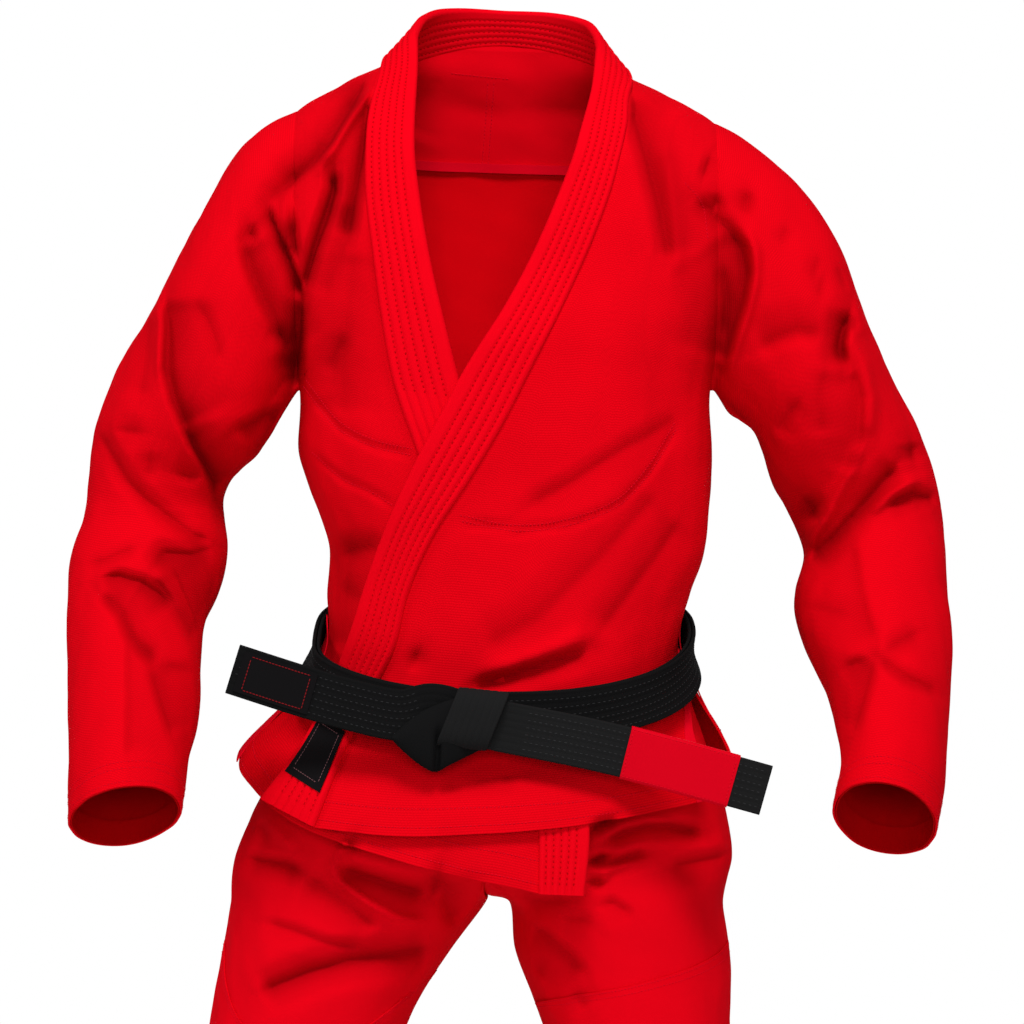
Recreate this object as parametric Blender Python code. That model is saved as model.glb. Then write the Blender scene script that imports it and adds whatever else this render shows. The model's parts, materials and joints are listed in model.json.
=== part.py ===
"""A grappling uniform in the shape it takes on a wearer: jacket, belt and trousers.

+Z is up, the front faces -Y and +X is the wearer's left. The origin is the middle of the neck opening, at
the height where the jacket rests on the shoulders. Lengths are in metres and angles in degrees.
"""

import math

import bmesh
import bpy
import numpy as np

# Cloth and trim
JACKET_CLOTH = 0.0020
TROUSER_CLOTH = 0.0016
LINING_CLOTH = 0.0012
TAPE_THICKNESS = 0.0010
CUFF_TAPE_WIDTH = 0.024
HEM_TAPE_WIDTH = 0.030
COLLAR_THICKNESS = 0.0070
COLLAR_WALL = 0.0016
BELT_WIDTH = 0.044
BELT_THICKNESS = 0.0036
PATCH_THICKNESS = 0.0009

# Clearances
SEAM_GAP = 0.0004
LAID_GAP = 0.0006
SEWN_GAP = 0.0012
COLLAR_SEAM_GAP = 0.0038
ARMHOLE_GAP = 0.00015
CORE_GAP = 0.0008
LAYER_GAP = 0.0026

# Jacket: where it is cut and how it leans
ARMHOLE_X = 0.187
ARMHOLE_TOP = -0.0315
ARMHOLE_TOP_ROW_Z = -0.0325
ARMHOLE_BOTTOM = -0.275
NECK_POINT_Z = 0.0135
NECK_HALF_WIDTH = 0.100
SHOULDER_DROP = 0.012
NAPE_Z = 0.034
SHOULDER_LEAN = 0.030
RING_POWER = 2.3
BELT_HEIGHT = -0.505
BELT_FRONT_DIP = 0.060
BELT_BACK_RISE = 0.030
BELT_DIP_REACH = 0.150
OVERLAP_TOP = -0.165
OVERLAP_FULL = -0.245
OVERLAP_SIDE = (0.085, 0.150)
CHEST_Z = -0.120
LAID_COLLAR_TOP = -0.060
COLLAR_END_LEFT = (-0.636, -0.6575)
COLLAR_END_RIGHT = (-0.7149, -0.7130)
FRONT_TAPE_SHARE = 0.055
BACK_TAPE_SHARE = 0.030

# How finely the pieces are laid out
PANEL_ROWS = 20
BELT_ROW = 4
CHEST_ROW = 12
ARMHOLE_ROW = 15
YOKE_ROWS = (13, 19)
BACK_COLUMNS = 16
LEFT_FRONT_COLUMNS = 14
RIGHT_FRONT_COLUMNS = 10
TAPE_ROWS = (1, 4)
COLLAR_ROWS = 66
PATCH_ROWS = (63, 65)
LAPEL_POINTS = 13
NECK_POINTS = 11
BELT_COLUMNS = 40
WAIST_COLUMNS = 36

# Sleeves
SLEEVE_PIVOT_Z = -0.385
ELBOW_Y = 0.030
ELBOW_HALF_DEPTH = 0.070
SLEEVE_HALF_DEPTH = 0.085
SHOULDER_BLEND = 42.0
UNDERARM_DEPTH = 0.050
SLEEVE_COLUMNS = 20
SLEEVE_ROWS = 10

# Belt ends
KNOT_SIZE = (0.052, 0.030, 0.058)
KNOT_PLACE = (-0.0285, -0.5620)
KNOT_TURN = 14.0
KNOT_ROUNDING = 0.011
LEFT_ROOT_GAP = 0.0012
RIGHT_ROOT_GAP = 0.0100
RANK_BAR = (0.455, 0.880)
BELT_LABEL = (0.555, 0.965)
BELT_LABEL_WIDTH = 0.036
LAPEL_PATCH_INSET = 0.006

# Trousers
CROTCH_Z = -0.735
KNEE_Z = -1.020
HEM_Z = -1.380
HIP_SEAM_ANGLE = 155.0
HIP_ROWS = 7
PATCH_ANGLE = 80.0
LEG_COLUMNS = 18
LEG_ROWS = 10
THIGH_PATCH_ROWS = 8
SHIN_PATCH_ROWS = 5

# Rings of the jacket's body: height, middle x, half width, depth in front, depth behind
TORSO = [
    (-0.740, -0.016, 0.240, 0.156, 0.150),
    (-0.660, -0.014, 0.226, 0.150, 0.146),
    (-0.600, -0.012, 0.211, 0.138, 0.132),
    (-0.550, -0.005, 0.182, 0.124, 0.116),
    (-0.505, 0.000, 0.160, 0.115, 0.105),
    (-0.454, 0.004, 0.162, 0.117, 0.107),
    (-0.418, 0.010, 0.166, 0.120, 0.110),
    (-0.364, 0.004, 0.178, 0.125, 0.114),
    (-0.330, 0.000, 0.183, 0.128, 0.117),
    (-0.275, -0.001, 0.1825, 0.131, 0.120),
    (-0.200, 0.000, 0.205, 0.132, 0.122),
    (-0.120, 0.000, 0.215, 0.125, 0.120),
    (-0.060, 0.000, 0.205, 0.112, 0.112),
    (-0.0315, 0.000, 0.185, 0.098, 0.104),
    (-0.0105, -0.0015, 0.1485, 0.086, 0.098),
    (-0.0026, -0.0040, 0.1325, 0.080, 0.094),
    (0.0079, -0.0040, 0.1125, 0.073, 0.089),
    (0.0125, -0.0030, 0.1055, 0.071, 0.087),
    (0.040, -0.003, 0.094, 0.064, 0.081),
]

# Collar edges on the chest: height, x of the free edge
LEFT_FREE_EDGE = [
    (-0.636, -0.205), (-0.570, -0.158), (-0.4957, -0.1290), (-0.452, -0.116), (-0.400, -0.100),
    (-0.348, -0.079), (-0.304, -0.057), (-0.268, -0.040), (-0.235, -0.018), (-0.1825, 0.012),
    (-0.104, 0.047), (-0.050, 0.066),
]
# and of the edge sewn to the front panel
LEFT_SEWN_EDGE = [
    (-0.6575, -0.160), (-0.570, -0.124), (-0.517, -0.0965), (-0.452, -0.079), (-0.400, -0.057),
    (-0.365, -0.0355), (-0.322, -0.0095), (-0.261, 0.021), (-0.191, 0.056), (-0.127, 0.083),
    (-0.0545, 0.1040), (-0.0162, 0.1092), (-0.0075, 0.1090), (0.010, 0.1050),
]
RIGHT_FREE_EDGE = [
    (-0.7149, 0.067), (-0.652, 0.0715), (-0.560, 0.052), (-0.450, 0.015), (-0.350, -0.017),
    (-0.268, -0.040), (-0.200, -0.057), (-0.139, -0.070), (-0.084, -0.077), (-0.050, -0.080),
]
RIGHT_SEWN_EDGE = [
    (-0.7130, 0.028), (-0.652, 0.027), (-0.560, 0.006), (-0.450, -0.032), (-0.330, -0.0765),
    (-0.287, -0.092), (-0.226, -0.105), (-0.165, -0.1138), (-0.101, -0.1213), (-0.0455, -0.1206),
    (-0.0046, -0.1144), (0.016, -0.1085),
]
# Collar's upper edge round the neck, from the wearer's right to the left
NECK_TOP = [
    (-0.0785, -0.052, 0.000), (-0.0765, -0.010, 0.046), (-0.0620, 0.034, 0.0705), (-0.0340, 0.061, 0.0780),
    (0.0000, 0.068, 0.0755),
    (0.0360, 0.061, 0.0720), (0.0670, 0.034, 0.0610), (0.0785, -0.010, 0.0360), (0.0770, -0.052, -0.006),
]

# Collar's sewn edge over the shoulder, from the front to the back: x away from the middle, y
SHOULDER_SEAM = [(0.1110, -0.052), (0.1070, -0.026), (0.1030, 0.000)]

# Lower edges: share of the way from the lapel to the side, height
LEFT_HEM = [(0.00, -0.6575), (0.25, -0.6630), (0.50, -0.6570), (0.75, -0.6450), (1.00, -0.6350)]
RIGHT_HEM = [(0.00, -0.7130), (0.30, -0.6800), (0.55, -0.6560), (0.80, -0.6250), (1.00, -0.6000)]
BACK_HEM = [(0.00, -0.6060), (0.25, -0.6400), (0.50, -0.6500), (0.75, -0.6400), (1.00, -0.6060)]
# Side edges: height, angle round the body from the front
LEFT_VENT = [(-0.740, 56.0), (-0.637, 56.0), (-0.600, 58.0), (-0.562, 65.0), (-0.527, 80.0), (-0.483, 90.0)]
RIGHT_VENT = [(-0.740, 84.0), (-0.600, 86.0), (-0.500, 90.0), (-0.400, 90.0)]
# and from the back
BACK_VENT = [(-0.740, 85.0), (-0.600, 87.0), (-0.500, 90.0), (-0.400, 90.0)]
# How far the belt stands off for the overlap beneath it: angle, share of the overlap's thickness
BELT_STAND_OFF = [
    (-180.0, 0.0), (-110.0, 0.0), (-80.0, 0.30), (-60.0, 1.0), (-28.0, 1.0), (0.0, 0.86), (40.0, 0.80),
    (75.0, 0.35), (110.0, 0.0), (180.0, 0.0),
]

# Upper sleeves fan out about a line at the armhole's plane: turn, nearest and farthest reach from that line
RIGHT_SLEEVE = [
    (0.0, 0.110, 0.3611), (8.0, 0.091, 0.335), (16.0, 0.078, 0.290), (32.0, 0.066, 0.233), (54.0, 0.0655, 0.2065),
    (68.0, 0.069, 0.200), (80.0, 0.071, 0.1925), (90.0, 0.070, 0.193),
]
LEFT_SLEEVE = [
    (0.0, 0.110, 0.3500), (8.0, 0.092, 0.326), (16.0, 0.087, 0.297), (25.0, 0.083, 0.265), (38.0, 0.0715, 0.224),
    (52.0, 0.063, 0.2025), (70.0, 0.061, 0.201), (82.0, 0.066, 0.2055), (90.0, 0.070, 0.208),
]
# Forearm rings: x, y, z, half width, half depth, pitch of the ring, roll of the ring
RIGHT_FOREARM = [
    (-0.3188, 0.030, -0.3850, 0.0615, 0.0700, 0.0, 0.0),
    (-0.3214, 0.015, -0.4186, 0.0700, 0.0700, 9.0, 0.0),
    (-0.3260, -0.005, -0.4544, 0.0674, 0.0690, 17.0, 1.0),
    (-0.3310, -0.027, -0.4892, 0.0615, 0.0660, 23.0, 2.0),
    (-0.3280, -0.070, -0.5589, 0.0580, 0.0630, 28.0, 4.0),
    (-0.3295, -0.098, -0.6050, 0.0522, 0.0600, 30.0, 7.0),
    (-0.3309, -0.120, -0.6485, 0.0498, 0.0585, 30.0, 9.5),
]
LEFT_FOREARM = [
    (0.3263, 0.030, -0.3850, 0.0690, 0.0700, 0.0, 0.0),
    (0.3330, 0.015, -0.4186, 0.0640, 0.0700, 9.0, 0.0),
    (0.3275, -0.005, -0.4544, 0.0685, 0.0690, 17.0, 1.0),
    (0.3290, -0.027, -0.4892, 0.0685, 0.0660, 23.0, 3.0),
    (0.3380, -0.065, -0.5500, 0.0540, 0.0640, 29.0, 6.0),
    (0.3385, -0.098, -0.6050, 0.0465, 0.0620, 33.0, 10.0),
    (0.3300, -0.120, -0.6507, 0.0475, 0.0610, 34.0, 13.0),
]

# Belt ends: middle line beyond the knot, out to the tip
LEFT_TAIL = [(0.056, -0.1620, -0.5800), (0.104, -0.1590, -0.5910), (0.160, -0.1560, -0.6060), (0.224, -0.1520, -0.6240)]
RIGHT_TAIL = [
    (-0.091, -0.1640, -0.5585), (-0.130, -0.1580, -0.5510), (-0.176, -0.1480, -0.5385), (-0.236, -0.1360, -0.5200),
]

# Trouser rings above the legs: height, middle x, half width, depth in front, depth behind
HIPS = [
    (-0.622, -0.011, 0.2000, 0.121, 0.119),
    (-0.658, -0.015, 0.2140, 0.123, 0.124),
    (-0.694, -0.019, 0.2240, 0.124, 0.126),
]
# Leg rings: height, middle x, middle y, half width, half depth
LEFT_LEG = [
    (-1.380, 0.1660, 0.012, 0.0740, 0.0840), (-1.280, 0.1600, 0.012, 0.0760, 0.0860),
    (-1.160, 0.1500, 0.004, 0.0780, 0.0890), (-1.020, 0.1380, -0.002, 0.0810, 0.0930),
    (-0.930, 0.1290, 0.000, 0.0830, 0.0990), (-0.844, 0.1175, 0.003, 0.0830, 0.1060),
    (-0.790, 0.1060, 0.004, 0.0950, 0.1110), (-0.735, 0.0990, 0.005, 0.0960, 0.1160),
]
RIGHT_LEG = [
    (-1.380, -0.2700, 0.012, 0.0740, 0.0840), (-1.280, -0.2600, 0.012, 0.0760, 0.0860),
    (-1.160, -0.2440, 0.004, 0.0780, 0.0890), (-1.020, -0.2200, -0.002, 0.0820, 0.0930),
    (-0.930, -0.2010, 0.000, 0.0840, 0.0990), (-0.844, -0.1780, 0.003, 0.0880, 0.1060),
    (-0.790, -0.1570, 0.004, 0.0990, 0.1110), (-0.735, -0.1325, 0.005, 0.1145, 0.1160),
]

# Main folds, as strokes over the front: height of the fold, its half width, and the points it runs through
JACKET_FOLDS = [
    (-0.008, 0.018, [(-0.111, -0.0085), (-0.142, -0.057), (-0.165, -0.079)]),
    (0.007, 0.020, [(-0.122, -0.030), (-0.150, -0.083), (-0.170, -0.1625), (-0.172, -0.230)]),
    (-0.006, 0.022, [(0.118, -0.030), (0.136, -0.092), (0.146, -0.171)]),
]
RIGHT_SLEEVE_FOLDS = [
    (-0.011, 0.022, [(-0.234, -0.154), (-0.2076, -0.2241), (-0.196, -0.262)]),
    (-0.008, 0.020, [(-0.300, -0.198), (-0.2956, -0.2505), (-0.2824, -0.312)]),
    (-0.010, 0.018, [(-0.3180, -0.290), (-0.2912, -0.315), (-0.262, -0.350)]),
]
LEFT_SLEEVE_FOLDS = [
    (0.008, 0.020, [(0.2104, -0.110), (0.2148, -0.171), (0.2060, -0.233)]),
    (0.008, 0.018, [(0.2984, -0.220), (0.3204, -0.303)]),
    (-0.010, 0.020, [(0.3500, -0.305), (0.3028, -0.345), (0.2800, -0.372)]),
]
RIGHT_FOREARM_FOLDS = [
    (-0.010, 0.022, [(-0.352, -0.437), (-0.300, -0.4617)]),
    (0.006, 0.018, [(-0.372, -0.480), (-0.331, -0.500), (-0.290, -0.490)]),
    (-0.006, 0.016, [(-0.331, -0.510), (-0.331, -0.6113)]),
]
LEFT_FOREARM_FOLDS = [
    (-0.009, 0.018, [(0.3072, -0.420), (0.318, -0.480), (0.3222, -0.5321)]),
    (-0.008, 0.020, [(0.330, -0.505), (0.3732, -0.541)]),
    (0.006, 0.020, [(0.388, -0.430), (0.355, -0.450), (0.345, -0.520)]),
]
RIGHT_LEG_FOLDS = [
    (-0.012, 0.026, [(-0.216, -0.805), (-0.137, -0.7785), (-0.075, -0.770)]),
    (0.008, 0.026, [(-0.250, -0.850), (-0.190, -0.835), (-0.120, -0.815)]),
    (-0.008, 0.024, [(-0.270, -0.960), (-0.215, -0.985), (-0.150, -0.975)]),
    (-0.008, 0.022, [(-0.310, -1.150), (-0.250, -1.180), (-0.190, -1.165)]),
    (-0.008, 0.022, [(-0.330, -1.290), (-0.265, -1.310), (-0.205, -1.300)]),
]
LEFT_LEG_FOLDS = [
    (-0.010, 0.024, [(0.030, -0.790), (0.100, -0.810), (0.190, -0.790)]),
    (0.007, 0.024, [(0.045, -0.850), (0.120, -0.862), (0.190, -0.840)]),
    (-0.008, 0.024, [(0.065, -0.965), (0.135, -0.985), (0.205, -0.960)]),
    (-0.008, 0.022, [(0.080, -1.160), (0.150, -1.180), (0.215, -1.160)]),
    (-0.008, 0.022, [(0.100, -1.295), (0.165, -1.310), (0.225, -1.290)]),
]
FOLD_FADE = 0.12

ALL_ROUND = (-4.0, 4.0)

RED_WEAVE = (0.75, 0.0015, 0.008)
RED_TWILL = (0.76, 0.0015, 0.009)
RED_TAPE = (0.80, 0.004, 0.02)
BLACK_COTTON = (0.012, 0.012, 0.013)
DARK_LABEL = (0.008, 0.007, 0.008)


def curve(rows, key):
    """The values of a smooth curve through rows of (key, values), one array for each value."""
    table = np.array(rows)
    keys = table[:, 0]
    values = table[:, 1:]
    slopes = np.gradient(values, keys, axis=0)
    key = np.clip(np.asarray(key, float), keys[0], keys[-1])
    low = np.clip(np.searchsorted(keys, key) - 1, 0, len(keys) - 2)
    span = keys[low + 1] - keys[low]
    t = ((key - keys[low]) / span)[..., None]
    span = span[..., None]
    found = (
        values[low] * (1 + 2 * t) * (1 - t) ** 2
        + slopes[low] * span * t * (1 - t) ** 2
        + values[low + 1] * t**2 * (3 - 2 * t)
        + slopes[low + 1] * span * t**2 * (t - 1)
    )
    return [found[..., column] for column in range(found.shape[-1])]


def through(points, t):
    """The place at share t along a smooth curve through evenly spaced points."""
    rows = [(index / (len(points) - 1), *point) for index, point in enumerate(points)]
    return np.stack(curve(rows, t), -1)


def smoothstep(low, high, value):
    share = np.clip((value - low) / (high - low), 0, 1)
    return share * share * (3 - 2 * share)


def signed_power(value, power):
    return np.sign(value) * np.abs(value) ** power


def mix(a, b, share):
    return a + (b - a) * share


def fold_height(folds, x, z):
    """How far the cloth stands out at x and z, from the strokes of the folds."""
    height = np.zeros_like(x)
    for rise, half_width, points in folds:
        nearest = np.full_like(x, np.inf)
        for (x0, z0), (x1, z1) in zip(points, points[1:]):
            run = ((x - x0) * (x1 - x0) + (z - z0) * (z1 - z0)) / ((x1 - x0) ** 2 + (z1 - z0) ** 2)
            run = np.clip(run, 0, 1)
            nearest = np.minimum(nearest, np.hypot(x - mix(x0, x1, run), z - mix(z0, z1, run)))
        height += rise * np.exp(-((nearest / half_width) ** 2))
    return height


# The jacket's body


def lean(x, height):
    return -SHOULDER_LEAN * x * smoothstep(-0.30, -0.06, height)


def belt_dip(height, facing):
    """The rings tilt at the belt: facing is 1 in front, 0 at the sides and -1 behind."""
    share = 1 - smoothstep(0, BELT_DIP_REACH, np.abs(height - BELT_HEIGHT))
    level = (BELT_FRONT_DIP + BELT_BACK_RISE) / 2
    bow = (BELT_FRONT_DIP - BELT_BACK_RISE) / 2
    return -share * (level * facing + bow * facing**2)


def torso(angle, height, offset, lift=0.0):
    """A point of the body at an angle round from the front, a ring height and an offset outwards.

    The offset grows the ring, and the lift moves the point square to it.
    """
    middle, half_width, front, back = curve(TORSO, height)
    turn = np.radians(angle)
    side = signed_power(np.sin(turn), 2 / RING_POWER)
    facing = signed_power(np.cos(turn), 2 / RING_POWER)
    x = middle + (half_width + offset) * side
    rise = fold_height(JACKET_FOLDS, x, height) * smoothstep(0.05, 0.45, facing)
    rise = rise * smoothstep(-0.48, -0.44, height) * smoothstep(0.0, -0.03, height)
    depth = np.where(facing > 0, front, back) + offset + rise
    y = -depth * facing
    square_x = signed_power(side, RING_POWER - 1) / half_width
    square_y = -signed_power(facing, RING_POWER - 1) / depth
    length = np.hypot(square_x, square_y)
    up = (offset + lift) * smoothstep(-0.12, 0.0, height)
    z = height + belt_dip(height, facing) + lean(x, height) + up
    return np.stack([x + lift * square_x / length, y + lift * square_y / length, z], -1)


def angle_at(x, height, offset):
    """The angle in front where the ring passes x."""
    middle, half_width, front, back = curve(TORSO, height)
    side = np.clip((x - middle) / (half_width + offset), -1, 1)
    return np.degrees(np.arcsin(signed_power(side, RING_POWER / 2)))


def front_place(x, z, lift):
    """The point of the chest at x and z, lifted off it."""
    height = z + 0 * x
    for _ in range(14):
        angle = angle_at(x, height, 0.0)
        height = height + (z - torso(angle, height, 0.0)[..., 2])
    return torso(angle, height, 0.0, lift)


def edge_angle(height, offset, vent, gap):
    """The outer edge of a panel: the shoulder and side seams, the armhole's plane or the vent."""
    middle, half_width, front, back = curve(TORSO, height)
    reach = np.clip((ARMHOLE_X - gap) / (half_width + offset), 0, 1)
    armhole = np.where(height > BELT_HEIGHT, np.degrees(np.arcsin(reach ** (RING_POWER / 2))), 90)
    return np.minimum(armhole, curve(vent, height)[0]) - np.degrees(gap / half_width)


def panel_height(v, hem, top):
    """Ring heights up a panel: to the belt, across it, to the chest, and closer together over the shoulder."""
    belt_low = BELT_HEIGHT - BELT_WIDTH / 2
    belt_high = BELT_HEIGHT + BELT_WIDTH / 2
    row = v * PANEL_ROWS
    height = mix(hem, belt_low, np.clip(row / BELT_ROW, 0, 1))
    height = height + (belt_high - belt_low) * np.clip(row - BELT_ROW, 0, 1)
    height = height + (CHEST_Z - belt_high) * np.clip((row - BELT_ROW - 1) / (CHEST_ROW - BELT_ROW - 1), 0, 1)
    upper = np.clip((row - CHEST_ROW) / (ARMHOLE_ROW - CHEST_ROW), 0, 1)
    over = np.clip((row - ARMHOLE_ROW) / (PANEL_ROWS - ARMHOLE_ROW), 0, 1)
    height = height + (ARMHOLE_TOP_ROW_Z - CHEST_Z) * upper
    return height + (top - ARMHOLE_TOP_ROW_Z) * np.sin(over * np.pi / 2)


def overlap_lift(x, z):
    """The left front lies on the right lapel, and comes down to the body at its side seam."""
    lift = COLLAR_THICKNESS + LAYER_GAP
    return lift * smoothstep(OVERLAP_TOP, OVERLAP_FULL, z) * (1 - smoothstep(*OVERLAP_SIDE, x))


def front_panel(u, v, offset, side):
    """A front panel from its lapel (u = 0) to its side (u = 1), whose last column is as wide as the vent's tape."""
    left = side > 0
    sewn_edge = LEFT_SEWN_EDGE if left else RIGHT_SEWN_EDGE
    hem = LEFT_HEM if left else RIGHT_HEM
    vent = LEFT_VENT if left else RIGHT_VENT
    columns = LEFT_FRONT_COLUMNS if left else RIGHT_FRONT_COLUMNS
    u = np.interp(u, [0, 1 - 1 / columns, 1], [0, 1 - FRONT_TAPE_SHARE, 1])
    height = panel_height(v, curve(hem, u)[0], NECK_POINT_Z - SHOULDER_DROP)
    outer = side * edge_angle(height, offset, vent, SEAM_GAP)
    lapel_z = height
    for _ in range(10):
        lapel_x = curve(sewn_edge, lapel_z)[0] + side * COLLAR_SEAM_GAP
        inner = angle_at(lapel_x, height, offset)
        lapel_z = torso(inner, height, offset)[..., 2]
    angle = mix(inner, outer, u)
    laid = torso(angle, height, offset)
    if not left:
        return laid
    return torso(angle, height, offset, overlap_lift(laid[..., 0], laid[..., 2]))


def neckline(x):
    """The height of the back's neckline at x, from the shoulder seams to the nape."""
    return mix(NAPE_Z, NECK_POINT_Z, np.clip(np.abs(x) / NECK_HALF_WIDTH, 0, 1) ** 2)


def back_place(u, height, offset):
    """A point of the back, at a share of the way from the left side to the right."""
    edge = edge_angle(height, offset, BACK_VENT, SEAM_GAP)
    return torso(mix(180 - edge, 180 + edge, u), height, offset)


def back_top(u, offset):
    """The height of the back's upper edge, a gap below the neckline."""
    height = NECK_POINT_Z + 0 * u
    for _ in range(10):
        height = neckline(back_place(u, height, offset)[..., 0]) - COLLAR_SEAM_GAP
    return height


def back_panel(u, v, offset):
    """The back from the left side (u = 0) to the right, whose outer columns are as wide as the vents' tapes."""
    edge = 1 / BACK_COLUMNS
    u = np.interp(u, [0, edge, 1 - edge, 1], [0, BACK_TAPE_SHARE, 1 - BACK_TAPE_SHARE, 1])
    height = panel_height(v, curve(BACK_HEM, u)[0], back_top(u, offset))
    return back_place(u, height, offset)


# The collar


def shoulder_place(x, y):
    """The point of the shoulder above x and y."""
    low = ARMHOLE_TOP + 0 * x
    high = NAPE_Z + 0 * x
    for _ in range(24):
        height = (low + high) / 2
        middle, half_width, front, back = curve(TORSO, height)
        depth = np.where(y < 0, front, back)
        inside = np.abs((x - middle) / half_width) ** RING_POWER + np.abs(y / depth) ** RING_POWER < 1
        low = np.where(inside, height, low)
        high = np.where(inside, high, height)
    return np.stack([x, y, height + lean(x, height)], -1)


def lapel_edge(edge, low, high, count):
    z = np.linspace(low, high, count)
    return front_place(curve(edge, z)[0], z, 0.0)


def collar_edges():
    """The collar's free edge and sewn edge, from the right lapel's end round the neck to the left one's."""
    x = np.linspace(-NECK_HALF_WIDTH, NECK_HALF_WIDTH, NECK_POINTS)
    height = neckline(x)
    seam = torso(180 - angle_at(x, height, 0.0), height, 0.0)
    over = np.array(SHOULDER_SEAM)
    right_over = shoulder_place(-over[:, 0], over[:, 1])
    left_over = shoulder_place(over[:, 0], over[:, 1])
    neck = through(NECK_TOP, np.linspace(0, 1, NECK_POINTS + 2 * len(over) + 2))
    free_top = -0.062
    sewn_top = -0.050
    shoulder = -0.020
    right_free = lapel_edge(RIGHT_FREE_EDGE, COLLAR_END_RIGHT[0], free_top, LAPEL_POINTS)
    right_sewn = lapel_edge(RIGHT_SEWN_EDGE, COLLAR_END_RIGHT[1], sewn_top, LAPEL_POINTS)
    left_free = lapel_edge(LEFT_FREE_EDGE, COLLAR_END_LEFT[0], free_top, LAPEL_POINTS)
    left_sewn = lapel_edge(LEFT_SEWN_EDGE, COLLAR_END_LEFT[1], sewn_top, LAPEL_POINTS)
    right_turn = lapel_edge(RIGHT_SEWN_EDGE, shoulder, shoulder, 1)
    left_turn = lapel_edge(LEFT_SEWN_EDGE, shoulder, shoulder, 1)
    free = np.concatenate([right_free, neck, left_free[::-1]])
    sewn = np.concatenate(
        [right_sewn, right_turn, right_over, seam, left_over[::-1], left_turn, left_sewn[::-1]]
    )
    steps = np.linalg.norm(np.diff((free + sewn) / 2, axis=0), axis=-1)
    reached = np.concatenate([[0], np.cumsum(steps)]) / steps.sum()
    return np.column_stack([reached, free]), np.column_stack([reached, sewn])


def collar_surface(across, along):
    """The collar's inner face: across runs from the free edge to the sewn edge."""
    free, sewn = collar_edges()
    ruled = mix(np.stack(curve(free, along), -1), np.stack(curve(sewn, along), -1), across[..., None])
    x = ruled[..., 0]
    z = ruled[..., 2]
    lift = np.where(along > 0.5, overlap_lift(x, z), 0.0)
    laid = front_place(x, np.minimum(z, LAID_COLLAR_TOP), lift)
    standing = smoothstep(LAID_COLLAR_TOP - 0.050, LAID_COLLAR_TOP, z)
    return mix(laid, ruled, standing[..., None])


def collar_width(along):
    ends = [collar_surface(np.full_like(along, share), along) for share in (0.0, 1.0)]
    return np.linalg.norm(ends[1] - ends[0], axis=-1)


def collar_place(across, along, rise):
    """A point of the collar at a share across, a share along and a height off its inner face."""
    step = 0.002
    here = collar_surface(across, along)
    ahead = collar_surface(across, np.minimum(along + step, 1)) - collar_surface(across, np.maximum(along - step, 0))
    over = collar_surface(across + 0.05, along) - collar_surface(across - 0.05, along)
    out = np.cross(ahead, over)
    out /= np.linalg.norm(out, axis=-1)[..., None]
    return here + out * np.asarray(rise)[..., None]


def box_loop(turn, half_width, half_height):
    """Round a rectangle's outline, with its corners at the diagonals."""
    cosine = np.cos(turn)
    sine = np.sin(turn)
    largest = np.maximum(np.abs(cosine), np.abs(sine))
    return half_width * cosine / largest, half_height * sine / largest


def collar_cover(turn, v, wall):
    width = collar_width(v)
    inset = COLLAR_WALL * (1 - wall)
    across, rise = box_loop(turn, width / 2 - inset, COLLAR_THICKNESS / 2 - inset)
    return collar_place(0.5 + across / width, v, COLLAR_THICKNESS / 2 + rise)


def collar_core(turn, v):
    """The strip inside the cover, on the same rows and columns but a row shorter at each end."""
    along = mix(1 / COLLAR_ROWS, 1 - 1 / COLLAR_ROWS, v)
    width = collar_width(along)
    inset = COLLAR_WALL + CORE_GAP
    across, rise = box_loop(turn, width / 2 - inset, COLLAR_THICKNESS / 2 - inset)
    return collar_place(0.5 + across / width, along, COLLAR_THICKNESS / 2 + rise)


def lapel_patch(u, v, wall):
    edge = LAPEL_PATCH_INSET / collar_width(v)
    return collar_place(mix(edge, 1 - edge, u), v, COLLAR_THICKNESS + SEAM_GAP + wall * PATCH_THICKNESS)


# Sleeves


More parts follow.
